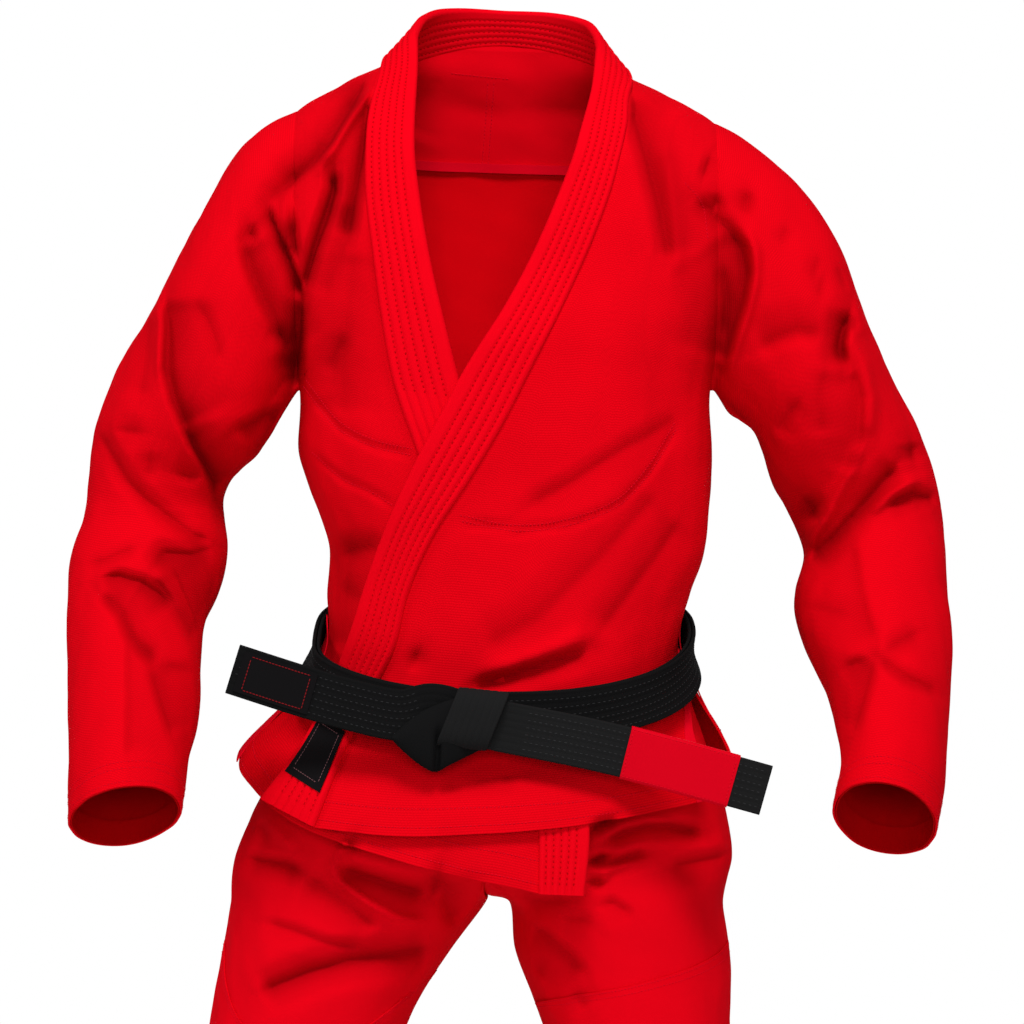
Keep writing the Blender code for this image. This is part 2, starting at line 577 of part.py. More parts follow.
def sleeve_ring(turn, fan, inset, side):
    """An upper sleeve's ring: turn 0 is on top and 90 in front, and fan is 0 at the armhole, 90 at the elbow."""
    near, far = curve(LEFT_SLEEVE if side > 0 else RIGHT_SLEEVE, fan)
    angle = np.radians(turn)
    middle = mix(0.0, ELBOW_Y, smoothstep(10, 90, fan))
    bulge = np.sin(np.radians(fan * 2)) ** 2
    half_depth = mix(ELBOW_HALF_DEPTH, SLEEVE_HALF_DEPTH, bulge)
    direction = np.stack([side * np.sin(np.radians(fan)), 0 * fan, np.cos(np.radians(fan))], -1)
    pivot = np.array([side * (ARMHOLE_X + ARMHOLE_GAP), 0, SLEEVE_PIVOT_Z])

    height = mix(ARMHOLE_BOTTOM, ARMHOLE_TOP, (1 + np.cos(angle)) / 2)
    _, half_width, front, back = curve(TORSO, height)
    share = np.clip(ARMHOLE_X / (half_width + JACKET_CLOTH), 0, 1)
    rim = np.where(np.sin(angle) > 0, front, back) * (1 - share**RING_POWER) ** (1 / RING_POWER)
    rim = np.maximum(rim, UNDERARM_DEPTH * np.abs(np.sin(angle)))
    rim = rim * np.sign(np.sin(angle)) - inset * np.sin(angle)

    spread = (far - near) / 2
    base_reach = near + spread * (1 + np.cos(angle))
    x = pivot[0] + direction[..., 0] * base_reach
    z = pivot[2] + direction[..., 2] * base_reach
    folds = LEFT_SLEEVE_FOLDS if side > 0 else RIGHT_SLEEVE_FOLDS
    rise = fold_height(folds, x, z) * smoothstep(0.0, 0.4, np.sin(angle))
    rise = rise * smoothstep(0, 90 * FOLD_FADE, fan) * smoothstep(90, 90 * (1 - FOLD_FADE), fan)
    size = rise - inset
    reach = near + spread + (spread + size) * np.cos(angle)
    depth = mix(rim, (half_depth + size) * np.sin(angle), smoothstep(0, SHOULDER_BLEND, fan))
    place = pivot + direction * reach[..., None]
    place[..., 1] = middle - depth
    return place


def forearm_ring(turn, along, inset, side):
    """A forearm's ring: turn 0 is on the outer side and 90 in front, and along runs from the elbow to the cuff."""
    rows = LEFT_FOREARM if side > 0 else RIGHT_FOREARM
    x, y, z, half_width, half_depth, pitch, roll = np.moveaxis(through(rows, along), -1, 0)
    angle = np.radians(turn)
    pitch = np.radians(pitch)
    roll = np.radians(roll)
    folds = LEFT_FOREARM_FOLDS if side > 0 else RIGHT_FOREARM_FOLDS
    base_x = x + side * half_width * np.cos(angle)
    rise = fold_height(folds, base_x, z) * smoothstep(0.0, 0.4, np.sin(angle))
    rise = rise * smoothstep(0, FOLD_FADE, along) * smoothstep(1, 1 - FOLD_FADE, along)
    wide = (half_width + rise - inset) * np.cos(angle)
    deep = (half_depth + rise - inset) * np.sin(angle)
    return np.stack(
        [
            x + side * wide * np.cos(roll),
            y - deep * np.cos(pitch),
            z - wide * np.sin(roll) + deep * np.sin(pitch) - SEAM_GAP * (along == 0),
        ],
        -1,
    )


# The belt


def belt_seat(angle):
    """How far the belt's inner face stands off the body."""
    share = curve(BELT_STAND_OFF, (angle + 180) % 360 - 180)[0]
    overlap = 2 * (COLLAR_THICKNESS + LAYER_GAP) + PATCH_THICKNESS - JACKET_CLOTH
    return JACKET_CLOTH + LAYER_GAP + share * overlap


def belt_turn(turn, v, wall, floor):
    angle = np.degrees(turn)
    offset = belt_seat(angle) + floor + wall * BELT_THICKNESS
    return torso(angle, BELT_HEIGHT + (v - 0.5) * BELT_WIDTH, offset)


def belt_front():
    """The foremost y of the outer turn."""
    turn = np.radians(np.linspace(-45, 45, 46))
    faces = [belt_turn(turn, level, 1.0, BELT_THICKNESS + SEAM_GAP) for level in (0.0, 1.0)]
    return float(min(face[..., 1].min() for face in faces))


def knot_place():
    return np.array([KNOT_PLACE[0], belt_front() - SEAM_GAP - KNOT_SIZE[1] / 2, KNOT_PLACE[1]])


def tail_path(side):
    """The middle line of a belt end, from the side of the knot."""
    turn = math.radians(KNOT_TURN)
    out = side * np.array([math.cos(turn), 0, -math.sin(turn)])
    gap = LEFT_ROOT_GAP if side > 0 else RIGHT_ROOT_GAP
    root = knot_place() + (KNOT_SIZE[0] / 2 + gap) * out
    return [tuple(root), *(LEFT_TAIL if side > 0 else RIGHT_TAIL)]


def strap_place(path, along, across, rise):
    """A point of a flat strap along a path that faces the front."""
    here = through(path, along)
    ahead = through(path, np.minimum(along + 0.01, 1)) - through(path, np.maximum(along - 0.01, 0))
    ahead /= np.linalg.norm(ahead, axis=-1)[..., None]
    up = np.cross(ahead, np.array([0.0, 1.0, 0.0]))
    up *= np.sign(up[..., 2])[..., None]
    up /= np.linalg.norm(up, axis=-1)[..., None]
    out = np.cross(ahead, up)
    out *= -np.sign(out[..., 1])[..., None]
    return here + up * np.asarray(across)[..., None] + out * np.asarray(rise)[..., None]


def belt_end(u, v, wall, side):
    return strap_place(tail_path(side), v, (u - 0.5) * BELT_WIDTH, (wall - 0.5) * BELT_THICKNESS)


def rank_bar(turn, v, wall):
    grow = LAID_GAP + wall * PATCH_THICKNESS
    across, rise = box_loop(turn, BELT_WIDTH / 2 + grow, BELT_THICKNESS / 2 + grow)
    return strap_place(tail_path(1), mix(*RANK_BAR, v), across, rise)


def belt_label(u, v, wall):
    rise = BELT_THICKNESS / 2 + SEAM_GAP + wall * PATCH_THICKNESS
    return strap_place(tail_path(-1), mix(*BELT_LABEL, v), (u - 0.5) * BELT_LABEL_WIDTH, rise)


# Trousers


def waistband(turn, v, wall):
    height = BELT_HEIGHT + (v - 0.5) * BELT_WIDTH
    return torso(np.degrees(turn), height, -LAYER_GAP - 2 * TROUSER_CLOTH * (1 - wall))


def leg_ring(turn, height, offset, side, folded):
    """A leg's ring: turn 0 is on the outer side, 90 in front and -90 behind."""
    rows = LEFT_LEG if side > 0 else RIGHT_LEG
    x, y, half_width, half_depth = curve(rows, height)
    angle = np.radians(turn)
    rise = 0.0
    if folded:
        folds = LEFT_LEG_FOLDS if side > 0 else RIGHT_LEG_FOLDS
        rise = fold_height(folds, x + side * half_width * np.cos(angle), height)
        rise = rise * smoothstep(-0.1, 0.4, np.sin(angle))
        for cut in (CROTCH_Z, KNEE_Z, HEM_Z):
            rise = rise * smoothstep(0.0, 0.030, np.abs(height - cut))
    size = offset + rise
    return np.stack(
        [x + side * (half_width + size) * np.cos(angle), y - (half_depth + size) * np.sin(angle), height + 0 * turn],
        -1,
    )


def hip_panel(u, v, wall, side):
    """Half of the seat, from the front seam (u = 0) round the side to the back seam."""
    inset = TROUSER_CLOTH * (1 - wall)
    angle = mix(0.6, 179.4, u)
    top_height = BELT_HEIGHT - BELT_WIDTH / 2 - SEWN_GAP
    rings = [torso(side * angle, top_height + 0 * u, -LAYER_GAP - inset)]
    turn = np.radians(angle)
    for height, middle, half_width, front, back in HIPS:
        facing = signed_power(np.cos(turn), 2 / RING_POWER)
        reach = signed_power(np.sin(turn), 2 / RING_POWER)
        depth = np.where(facing > 0, front, back) - inset
        x = middle + side * (half_width - inset) * reach + side * SEAM_GAP
        rings.append(np.stack([x, -depth * facing, height + 0 * u], -1))
    rings.append(leg_ring(mix(HIP_SEAM_ANGLE, -HIP_SEAM_ANGLE, u), CROTCH_Z + SEAM_GAP + 0 * u, -inset, side, False))
    step = v * (len(rings) - 1)
    low = np.clip(step.astype(int), 0, len(rings) - 2)
    stack = np.stack(rings)
    picks = [np.clip(low + shift, 0, len(rings) - 1) for shift in (-1, 0, 1, 2)]
    index = np.arange(len(u))
    before, first, second, after = [stack[pick, index] for pick in picks]
    t = (step - low)[:, None]
    bend = (2 * before - 5 * first + 4 * second - after) * t**2 + (3 * first - before - 3 * second + after) * t**3
    return first + 0.5 * ((second - before) * t + bend)


def crotch_gusset(u, v, wall):
    turn = mix(HIP_SEAM_ANGLE + 2, 360 - HIP_SEAM_ANGLE - 2, v)
    height = CROTCH_Z + SEAM_GAP + 0 * u
    right = leg_ring(turn, height, 0.0, -1, False)
    left = leg_ring(turn, height, 0.0, 1, False)
    place = mix(right, left, u[..., None])
    place[..., 2] += wall * TROUSER_CLOTH
    return place


def thigh(turn, v, offset, side):
    height = mix(KNEE_Z + SEAM_GAP, CROTCH_Z - SEAM_GAP, v)
    return leg_ring(np.degrees(turn), height, offset, side, True)


def shin(turn, v, offset, side):
    """The lower leg, whose first row is as wide as the hem's tape."""
    top = KNEE_Z - SEAM_GAP
    height = np.interp(v, [0, 1 / LEG_ROWS, 1], [HEM_Z, HEM_Z + HEM_TAPE_WIDTH, top])
    return leg_ring(np.degrees(turn), height, offset, side, True)


# Building


def cloth_material(name, colour, roughness):
    material = bpy.data.materials.new(name)
    material.use_nodes = True
    shader = material.node_tree.nodes["Principled BSDF"]
    shader.inputs["Base Color"].default_value = (*colour, 1.0)
    shader.inputs["Roughness"].default_value = roughness
    shader.inputs["Metallic"].default_value = 0.0
    return material


def add_piece(name, mesh_maker, material, pivot=None):
    mesh = bpy.data.meshes.new(name)
    if mesh_maker.calc_volume(signed=True) < 0:
        bmesh.ops.reverse_faces(mesh_maker, faces=mesh_maker.faces[:])
    if pivot is not None:
        bmesh.ops.translate(mesh_maker, verts=mesh_maker.verts[:], vec=-pivot.matrix_world.translation)
    mesh_maker.to_mesh(mesh)
    mesh_maker.free()
    mesh.shade_smooth()
    mesh.set_sharp_from_angle(angle=math.radians(50))
    mesh.materials.append(material)
    piece = bpy.data.objects.new(name, mesh)
    bpy.context.collection.objects.link(piece)
    piece.parent = pivot
    return piece


def place_vertices(maker, shares, place):
    columns = [np.array(column) for column in zip(*shares)]
    for vertex, spot in zip(maker.verts, place(*columns)):
        vertex.co = spot


def keep_faces(maker, share_of, kept):
    """Leaves only the faces of a layout whose middle's shares lie inside the kept spans."""
    outside = []
    for face in maker.faces:
        shares = share_of(face.calc_center_median())
        if not all(low < share < high for share, (low, high) in zip(shares, kept)):
            outside.append(face)
    bmesh.ops.delete(maker, geom=outside, context="FACES")


def panel(columns, rows, place, kept=((0, 1), (0, 1))):
    """A flat piece of cloth, laid out as a grid with a wall and then moved to its place."""
    maker = bmesh.new()
    bmesh.ops.create_grid(maker, x_segments=columns, y_segments=rows, size=0.5)
    keep_faces(maker, lambda spot: (spot.x + 0.5, spot.y + 0.5), kept)
    bmesh.ops.triangulate(maker, faces=maker.faces[:], quad_method="FIXED")
    bmesh.ops.solidify(maker, geom=maker.faces[:], thickness=1.0)
    outer = max(vertex.co.z for vertex in maker.verts)
    shares = [(v.co.x + 0.5, v.co.y + 0.5, float(v.co.z > outer - 0.5)) for v in maker.verts]
    place_vertices(maker, shares, place)
    return maker


def ring_layout(columns, rows, capped):
    maker = bmesh.new()
    bmesh.ops.create_cone(maker, cap_ends=capped, segments=columns, radius1=1, radius2=1, depth=1)
    upright = [edge for edge in maker.edges if abs(edge.verts[0].co.z - edge.verts[1].co.z) > 0.5]
    if rows > 1:
        bmesh.ops.subdivide_edges(maker, edges=upright, cuts=rows - 1, use_grid_fill=True)
    return maker


def ring_turn(vertex, columns):
    """The turn of the layout's column that a vertex is on."""
    step = 2 * math.pi / columns
    return math.pi / 2 + step * round((math.atan2(vertex.co.y, vertex.co.x) - math.pi / 2) / step)


def tube(columns, rows, place, kept=(ALL_ROUND, (0, 1))):
    """A sleeve of cloth, laid out as a ring with a wall and then moved to its place."""
    maker = ring_layout(columns, rows, False)
    keep_faces(maker, lambda spot: (math.atan2(spot.y, spot.x), spot.z + 0.5), kept)
    bmesh.ops.triangulate(maker, faces=maker.faces[:], quad_method="FIXED")
    bmesh.ops.solidify(maker, geom=maker.faces[:], thickness=0.2)
    shares = [(ring_turn(v, columns), v.co.z + 0.5, float(v.co.xy.length > 0.9)) for v in maker.verts]
    place_vertices(maker, shares, place)
    return maker


def bar(columns, rows, place):
    """A closed strip, laid out as a rod and then moved to its place."""
    maker = ring_layout(columns, rows, True)
    bmesh.ops.triangulate(maker, faces=maker.faces[:], quad_method="FIXED")
    place_vertices(maker, [(ring_turn(v, columns), v.co.z + 0.5) for v in maker.verts], place)
    return maker


def pivot_at(name, place, parent=None):
    """An empty on a joint's axis, which carries the pieces that turn there."""
    pivot = bpy.data.objects.new(name, None)
    pivot.empty_display_size = 0.03
    bpy.context.collection.objects.link(pivot)
    pivot.parent = parent
    origin = parent.matrix_world.translation if parent else (0, 0, 0)
    pivot.location = [here - there for here, there in zip(place, origin)]
    bpy.context.view_layer.update()
    return pivot


def layer(place, floor, thickness, *more):
    """A wall of cloth over a surface, from a floor outwards."""
    return lambda u, v, wall: place(u, v, floor + wall * thickness, *more)


def build_jacket(weave, twill, tape, label):
    back = layer(back_panel, 0.0, JACKET_CLOTH)
    left = layer(front_panel, 0.0, JACKET_CLOTH, 1)
    right = layer(front_panel, 0.0, JACKET_CLOTH, -1)
    lining = layer(back_panel, -SEAM_GAP - LINING_CLOTH, LINING_CLOTH)
    column = 1 / BACK_COLUMNS
    yoke = ((column, 1 - column), tuple(row / PANEL_ROWS for row in YOKE_ROWS))
    patch = ((0, 1), tuple(row / COLLAR_ROWS for row in PATCH_ROWS))
    add_piece("jacket_back", panel(BACK_COLUMNS, PANEL_ROWS, back), weave)
    add_piece("left_front", panel(LEFT_FRONT_COLUMNS, PANEL_ROWS, left), weave)
    add_piece("right_front", panel(RIGHT_FRONT_COLUMNS, PANEL_ROWS, right), weave)
    add_piece("yoke_lining", panel(BACK_COLUMNS, PANEL_ROWS, lining, yoke), twill)
    add_piece("collar_cover", tube(8, COLLAR_ROWS, collar_cover), twill)
    add_piece("collar_core", bar(8, COLLAR_ROWS - 2, collar_core), tape)
    add_piece("lapel_patch", panel(2, COLLAR_ROWS, lapel_patch, patch), label)


def build_vent_tapes(tape):
    """Tapes over the side vents' edges, below the belt."""
    floor = JACKET_CLOTH + LAID_GAP
    rows = tuple(row / PANEL_ROWS for row in TAPE_ROWS)
    back = layer(back_panel, floor, TAPE_THICKNESS)
    for word, side, columns, back_span in (
        ("left", 1, LEFT_FRONT_COLUMNS, (0, 1 / BACK_COLUMNS)),
        ("right", -1, RIGHT_FRONT_COLUMNS, (1 - 1 / BACK_COLUMNS, 1)),
    ):
        front = layer(front_panel, floor, TAPE_THICKNESS, side)
        add_piece(f"{word}_front_vent_tape", panel(columns, PANEL_ROWS, front, ((1 - 1 / columns, 1), rows)), tape)
        add_piece(f"{word}_back_vent_tape", panel(BACK_COLUMNS, PANEL_ROWS, back, (back_span, rows)), tape)


def build_sleeve(word, side, weave, tape):
    rows = LEFT_FOREARM if side > 0 else RIGHT_FOREARM
    top = ARMHOLE_TOP + lean(side * ARMHOLE_X, ARMHOLE_TOP)
    shoulder = pivot_at(f"{word}_shoulder_pivot", (side * ARMHOLE_X, 0.0, float(top)))
    elbow_front = ELBOW_Y - ELBOW_HALF_DEPTH
    elbow = pivot_at(f"{word}_elbow_pivot", (rows[0][0], elbow_front, SLEEVE_PIVOT_Z), shoulder)
    tape_start = 1 - CUFF_TAPE_WIDTH / math.dist(rows[0][:3], rows[-1][:3])
    last_row = 1 - 1 / SLEEVE_ROWS

    def upper(turn, v, wall):
        return sleeve_ring(np.degrees(turn), 90 * v, JACKET_CLOTH * (1 - wall), side)

    def forearm(turn, v, inset):
        along = np.interp(v, [0, last_row, 1], [0, tape_start, 1])
        return forearm_ring(np.degrees(turn), along, inset, side)

    lower = layer(forearm, JACKET_CLOTH, -JACKET_CLOTH)
    inside = layer(forearm, JACKET_CLOTH + SEAM_GAP + TAPE_THICKNESS, -TAPE_THICKNESS)
    cuff = (ALL_ROUND, (last_row, 1))
    add_piece(f"{word}_upper_sleeve", tube(SLEEVE_COLUMNS, SLEEVE_ROWS, upper), weave, shoulder)
    add_piece(f"{word}_forearm_sleeve", tube(SLEEVE_COLUMNS, SLEEVE_ROWS, lower), weave, elbow)
    add_piece(f"{word}_cuff_tape", tube(SLEEVE_COLUMNS, SLEEVE_ROWS, inside, cuff), tape, elbow)


def build_belt(cotton, satin, label):
    add_piece("belt_inner_turn", tube(BELT_COLUMNS, 1, lambda t, v, w: belt_turn(t, v, w, 0.0)), cotton)
    outer_floor = BELT_THICKNESS + SEAM_GAP
    add_piece("belt_outer_turn", tube(BELT_COLUMNS, 1, lambda t, v, w: belt_turn(t, v, w, outer_floor)), cotton)
    knot = bmesh.new()
    bmesh.ops.create_cube(knot, size=1.0)
    bmesh.ops.scale(knot, verts=knot.verts[:], vec=KNOT_SIZE)
    bmesh.ops.bevel(
        knot, geom=knot.edges[:], offset=KNOT_ROUNDING, offset_type="OFFSET", segments=3, profile=0.5,
        affect="EDGES", material=-1,
    )
    turned = bpy.data.objects.new("belt_knot", bpy.data.meshes.new("belt_knot"))
    knot.to_mesh(turned.data)
    knot.free()
    turned.data.shade_smooth()
    turned.data.set_sharp_from_angle(angle=math.radians(50))
    turned.data.materials.append(cotton)
    bpy.context.collection.objects.link(turned)
    turned.location = knot_place()
    turned.rotation_euler = (0, math.radians(KNOT_TURN), 0)
    pivots = {}
    for word, side in (("left", 1), ("right", -1)):
        x, y, z = tail_path(side)[0]
        pivots[word] = pivot_at(f"{word}_belt_end_pivot", (x, y - BELT_THICKNESS / 2, z))
        add_piece(f"{word}_belt_end", panel(2, 12, lambda u, v, w: belt_end(u, v, w, side)), cotton, pivots[word])
    add_piece("rank_bar", tube(8, 6, rank_bar), satin, pivots["left"])
    add_piece("belt_label", panel(2, 6, belt_label), label, pivots["right"])


def build_trousers(twill, tape):
    add_piece("trouser_waistband", tube(WAIST_COLUMNS, 1, waistband), twill)
    add_piece("crotch_gusset", panel(4, 8, crotch_gusset), twill)
    angle = math.radians(PATCH_ANGLE)
    front = (math.pi / 2 - angle, math.pi / 2 + angle)
    for word, side in (("left", 1), ("right", -1)):
        legs = LEFT_LEG if side > 0 else RIGHT_LEG
        hip_x, hip_y, _, hip_depth = [float(value) for value in curve(legs, CROTCH_Z)]
        knee_x, knee_y, _, knee_depth = [float(value) for value in curve(legs, KNEE_Z)]
        hip = pivot_at(f"{word}_hip_pivot", (hip_x, hip_y - hip_depth, CROTCH_Z))
        knee = pivot_at(f"{word}_knee_pivot", (knee_x, knee_y + knee_depth, KNEE_Z), hip)
        seat = panel(WAIST_COLUMNS // 2, HIP_ROWS, lambda u, v, w: hip_panel(u, v, w, side))
        add_piece(f"{word}_hip_panel", seat, twill)
        for name, place, pivot, rows in (
            ("thigh", thigh, hip, (0, THIGH_PATCH_ROWS / LEG_ROWS)),
            ("shin", shin, knee, (1 - SHIN_PATCH_ROWS / LEG_ROWS, 1)),
        ):
            cloth = layer(place, -TROUSER_CLOTH, TROUSER_CLOTH, side)
            patch = layer(place, LAID_GAP, TAPE_THICKNESS, side)
            add_piece(f"{word}_{name}", tube(LEG_COLUMNS, LEG_ROWS, cloth), twill, pivot)
            add_piece(f"{word}_{name}_patch", tube(LEG_COLUMNS, LEG_ROWS, patch, (front, rows)), twill, pivot)
        inside = layer(shin, -TROUSER_CLOTH - SEAM_GAP - TAPE_THICKNESS, TAPE_THICKNESS, side)
        hem = (ALL_ROUND, (0, 1 / LEG_ROWS))
        add_piece(f"{word}_hem_tape", tube(LEG_COLUMNS, LEG_ROWS, inside, hem), tape, knee)


def main():
    for leftover in list(bpy.data.objects):
        bpy.data.objects.remove(leftover)
    weave = cloth_material("red_weave", RED_WEAVE, 0.85)
    twill = cloth_material("red_twill", RED_TWILL, 0.75)
    tape = cloth_material("red_tape", RED_TAPE, 0.7)
    satin = cloth_material("red_bar", RED_TAPE, 0.45)
    cotton = cloth_material("black_cotton", BLACK_COTTON, 0.8)
    label = cloth_material("dark_label", DARK_LABEL, 0.6)
    build_jacket(weave, twill, tape, label)
    build_vent_tapes(tape)
    build_sleeve("left", 1, weave, tape)
    build_sleeve("right", -1, weave, tape)
    build_belt(cotton, satin, label)
    build_trousers(twill, tape)


main()
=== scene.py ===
"""The looks of a red grappling uniform: a jacket with a stitched collar, a black belt and trousers.

+Z is up, the front faces -Y and +X is the wearer's left. Lengths are in metres and angles in degrees,
unless a comment says pixels: those are places in the photograph's frame, seen through the camera below.
"""

import json
import math

import bmesh
import bpy
import numpy as np
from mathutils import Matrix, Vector
from mathutils.bvhtree import BVHTree

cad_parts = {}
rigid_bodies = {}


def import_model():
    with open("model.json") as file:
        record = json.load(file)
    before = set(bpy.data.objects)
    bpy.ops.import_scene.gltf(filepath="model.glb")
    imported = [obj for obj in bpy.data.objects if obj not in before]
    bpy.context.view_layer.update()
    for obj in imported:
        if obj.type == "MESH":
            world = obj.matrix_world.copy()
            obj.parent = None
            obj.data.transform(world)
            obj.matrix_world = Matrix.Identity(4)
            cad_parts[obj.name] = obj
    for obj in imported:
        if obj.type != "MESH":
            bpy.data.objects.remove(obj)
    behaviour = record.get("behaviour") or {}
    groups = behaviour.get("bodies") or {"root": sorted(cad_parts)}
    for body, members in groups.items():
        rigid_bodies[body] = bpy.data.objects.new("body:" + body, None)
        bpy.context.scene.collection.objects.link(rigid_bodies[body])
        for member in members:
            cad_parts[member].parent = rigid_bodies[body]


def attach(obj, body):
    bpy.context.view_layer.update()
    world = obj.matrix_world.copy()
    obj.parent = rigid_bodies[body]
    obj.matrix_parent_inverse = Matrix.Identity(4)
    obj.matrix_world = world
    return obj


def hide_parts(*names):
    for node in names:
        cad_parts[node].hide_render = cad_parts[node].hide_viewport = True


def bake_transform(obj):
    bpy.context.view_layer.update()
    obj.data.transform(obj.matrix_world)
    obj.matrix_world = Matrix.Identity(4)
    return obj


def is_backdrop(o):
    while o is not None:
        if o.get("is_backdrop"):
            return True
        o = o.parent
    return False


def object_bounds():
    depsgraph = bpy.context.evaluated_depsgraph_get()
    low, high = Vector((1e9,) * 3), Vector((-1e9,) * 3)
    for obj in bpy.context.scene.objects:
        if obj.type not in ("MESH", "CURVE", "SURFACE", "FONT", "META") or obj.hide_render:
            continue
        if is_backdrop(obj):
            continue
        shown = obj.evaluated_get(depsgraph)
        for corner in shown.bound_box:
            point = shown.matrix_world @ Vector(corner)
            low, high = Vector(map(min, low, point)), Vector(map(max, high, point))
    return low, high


# Camera
CAMERA_PLACE = (0.0054, -3.5, -0.3843)
VIEW_WIDTH = 0.9216
FRAME_PIXELS = 1024
SENSOR_WIDTH = 36.0

# Cloth and trim
JACKET_CLOTH = 0.0020
TROUSER_CLOTH = 0.0016
LINING_CLOTH = 0.0010
TAPE_THICKNESS = 0.0010
CUFF_TAPE_WIDTH = 0.024
HEM_TAPE_WIDTH = 0.030
COLLAR_THICKNESS = 0.0070
BELT_WIDTH = 0.044
BELT_THICKNESS = 0.0036
PATCH_THICKNESS = 0.0009
SEAM_GAP = 0.0004
LAID_GAP = 0.0005
LAYER_GAP = 0.0026
TAPE_GAP = 0.0001
WELD = 2e-5
STITCH_WELD = 1e-6
SIDES = ((1, "left"), (-1, "right"))
TO_THE_FRONT = np.array([0.0, -1.0, 0.0])
SIDEWAYS = np.array([1.0, 0.0, 0.0])

# Steps of the searches for a place on the body, and points along an edge or a row
PLACE_TRIES = 14
EDGE_TRIES = 10
HALVINGS = 24
ROUND_POINTS = 9
STRAP_ROW_POINTS = 200
BELT_ROW_POINTS = 700
COLLAR_ROW_POINTS = 1500

# Jacket: where it is cut and how it leans
ARMHOLE_X = 0.187
ARMHOLE_TOP = -0.0315
ARMHOLE_TOP_ROW_Z = -0.0325
ARMHOLE_BOTTOM = -0.275
NECK_POINT_Z = 0.0135
NECK_HALF_WIDTH = 0.100
SHOULDER_DROP = 0.004
NAPE_Z = 0.043
SHOULDER_LEAN = 0.030
LEAN_SPAN = (-0.30, -0.06)
RISE_SPAN = (-0.12, 0.0)
RING_POWER = 2.3
BELT_HEIGHT = -0.505
BELT_FRONT_DIP = 0.060
BELT_BACK_RISE = 0.030
BELT_DIP_REACH = 0.150
OVERLAP_TOP = -0.165
OVERLAP_FULL = -0.245
OVERLAP_SIDE = (0.085, 0.150)
CHEST_Z = -0.120
LAID_COLLAR_TOP = -0.060
COLLAR_STAND = 0.050
COLLAR_WIDTH = 0.050
COLLAR_ROWS_AT = (0.26, 0.41, 0.56, 0.71, 0.86)
COLLAR_ROW_WIDTH = 0.030
COLLAR_ROW_DEPTH = 0.0015
COLLAR_PUFF = 0.4
COLLAR_THREAD_SINK = 0.55
FLAP_TOP = (-0.28, -0.33)
FLAP_BOTTOM = (-0.645, -0.615)
COLLAR_END_LEFT = (-0.636, -0.6575)
COLLAR_END_RIGHT = (-0.7149, -0.7130)
COLLAR_TUCK = 0.002
SKIRT_FLARE = 0.013
FLARE_ACROSS = (0.70, 1.0)
FLARE_HEIGHTS = (-0.525, -0.600)
VENT_SHARE = 0.16
FRONT_TAPE_SHARE = 0.055
BACK_TAPE_SHARE = 0.030
LAPEL_POINTS = 13
NECK_POINTS = 11
LAPEL_PATCH_SPAN = (0.9545, 0.9848)
LAPEL_PATCH_INSET = 0.006
YOKE_ACROSS = (0.04, 0.96)
YOKE_SPAN = (0.70, 0.985)
STRIP_CLOTH = 0.0007
STRIP_DEPTH = 0.0032
# The strip along the lower edge of the yoke's lining, in shares across the back and up it
STRIP_ACROSS = (0.045, 0.955)
STRIP_SPAN = (0.702, 0.716)

# Sleeves
SLEEVE_PIVOT_Z = -0.385
ELBOW_Y = 0.030
ELBOW_HALF_DEPTH = 0.070
SLEEVE_HALF_DEPTH = 0.085
SHOULDER_BLEND = 42.0
UNDERARM_DEPTH = 0.050
SLEEVE_SPLIT = 75.0
SLEEVE_TUCK = -2.5
SPLIT_SHARE = 0.12
ELBOW_FAN = (10, 90)
ELBOW_EASE = 0.11
EASE_REACH = 0.25
EASE_STEPS = 9
SHOULDER_BEND = (0.188, 0.245)
SHOULDER_BEND_Z = -0.2
ELBOW_BEND = ((0.0, 0.0, -0.372), (0.0, 0.0, -0.440))

# Belt
BELT_ROWS = 7
BELT_ROW_DEPTH = 0.00035
BELT_ROW_POWER = 8
KNOT_SIZE = (0.052, 0.030, 0.058)
KNOT_PLACE = (-0.0285, -0.5620)
KNOT_TURN = 14.0
LOOP_HALF_HEIGHT = 0.0255
LOOP_HALF_DEPTH = 0.0135
LOOP_LEAN = 22.0
LOOP_SLOPE = 6.0
KNOT_FOLD_Y = -0.1660
KNOT_FOLD_SWELL = 0.0080
KNOT_CREASE = 0.62
KNOT_CREASE_WIDTH = 0.045
KNOT_CREASE_DEPTH = 0.007
KNOT_TUCK = 0.006
KNOT_INSIDE = 0.8
LOOP_SQUARE = 0.75
LEFT_ROOT_GAP = 0.0012
RIGHT_ROOT_GAP = 0.0100
LEFT_TAIL_BEND = (-0.016, 0.006)
RIGHT_TAIL_BEND = (-0.049, -0.072)
RANK_BAR = (0.495, 0.892)
BELT_LABEL = (0.700, 0.975)
BELT_LABEL_WIDTH = 0.036

# Trousers
CROTCH_SAG = 0.0300
SAG_POWER = 0.6
THIGH_SPLIT_Z = -0.862
KNEE_Z = -1.020
HEM_Z = -1.380
FLOOR_Z = -1.430
HIP_SEAM_ANGLE = 155.0
PATCH_ANGLE = 80.0
PATCH_BOTTOM_Z = -1.200
HIP_BEND = ((0.0, 0.0, -0.728), (0.0, 0.0, -0.860))
KNEE_BEND = ((0.0, 0.0, KNEE_Z + 0.045), (0.0, 0.0, KNEE_Z - 0.045))

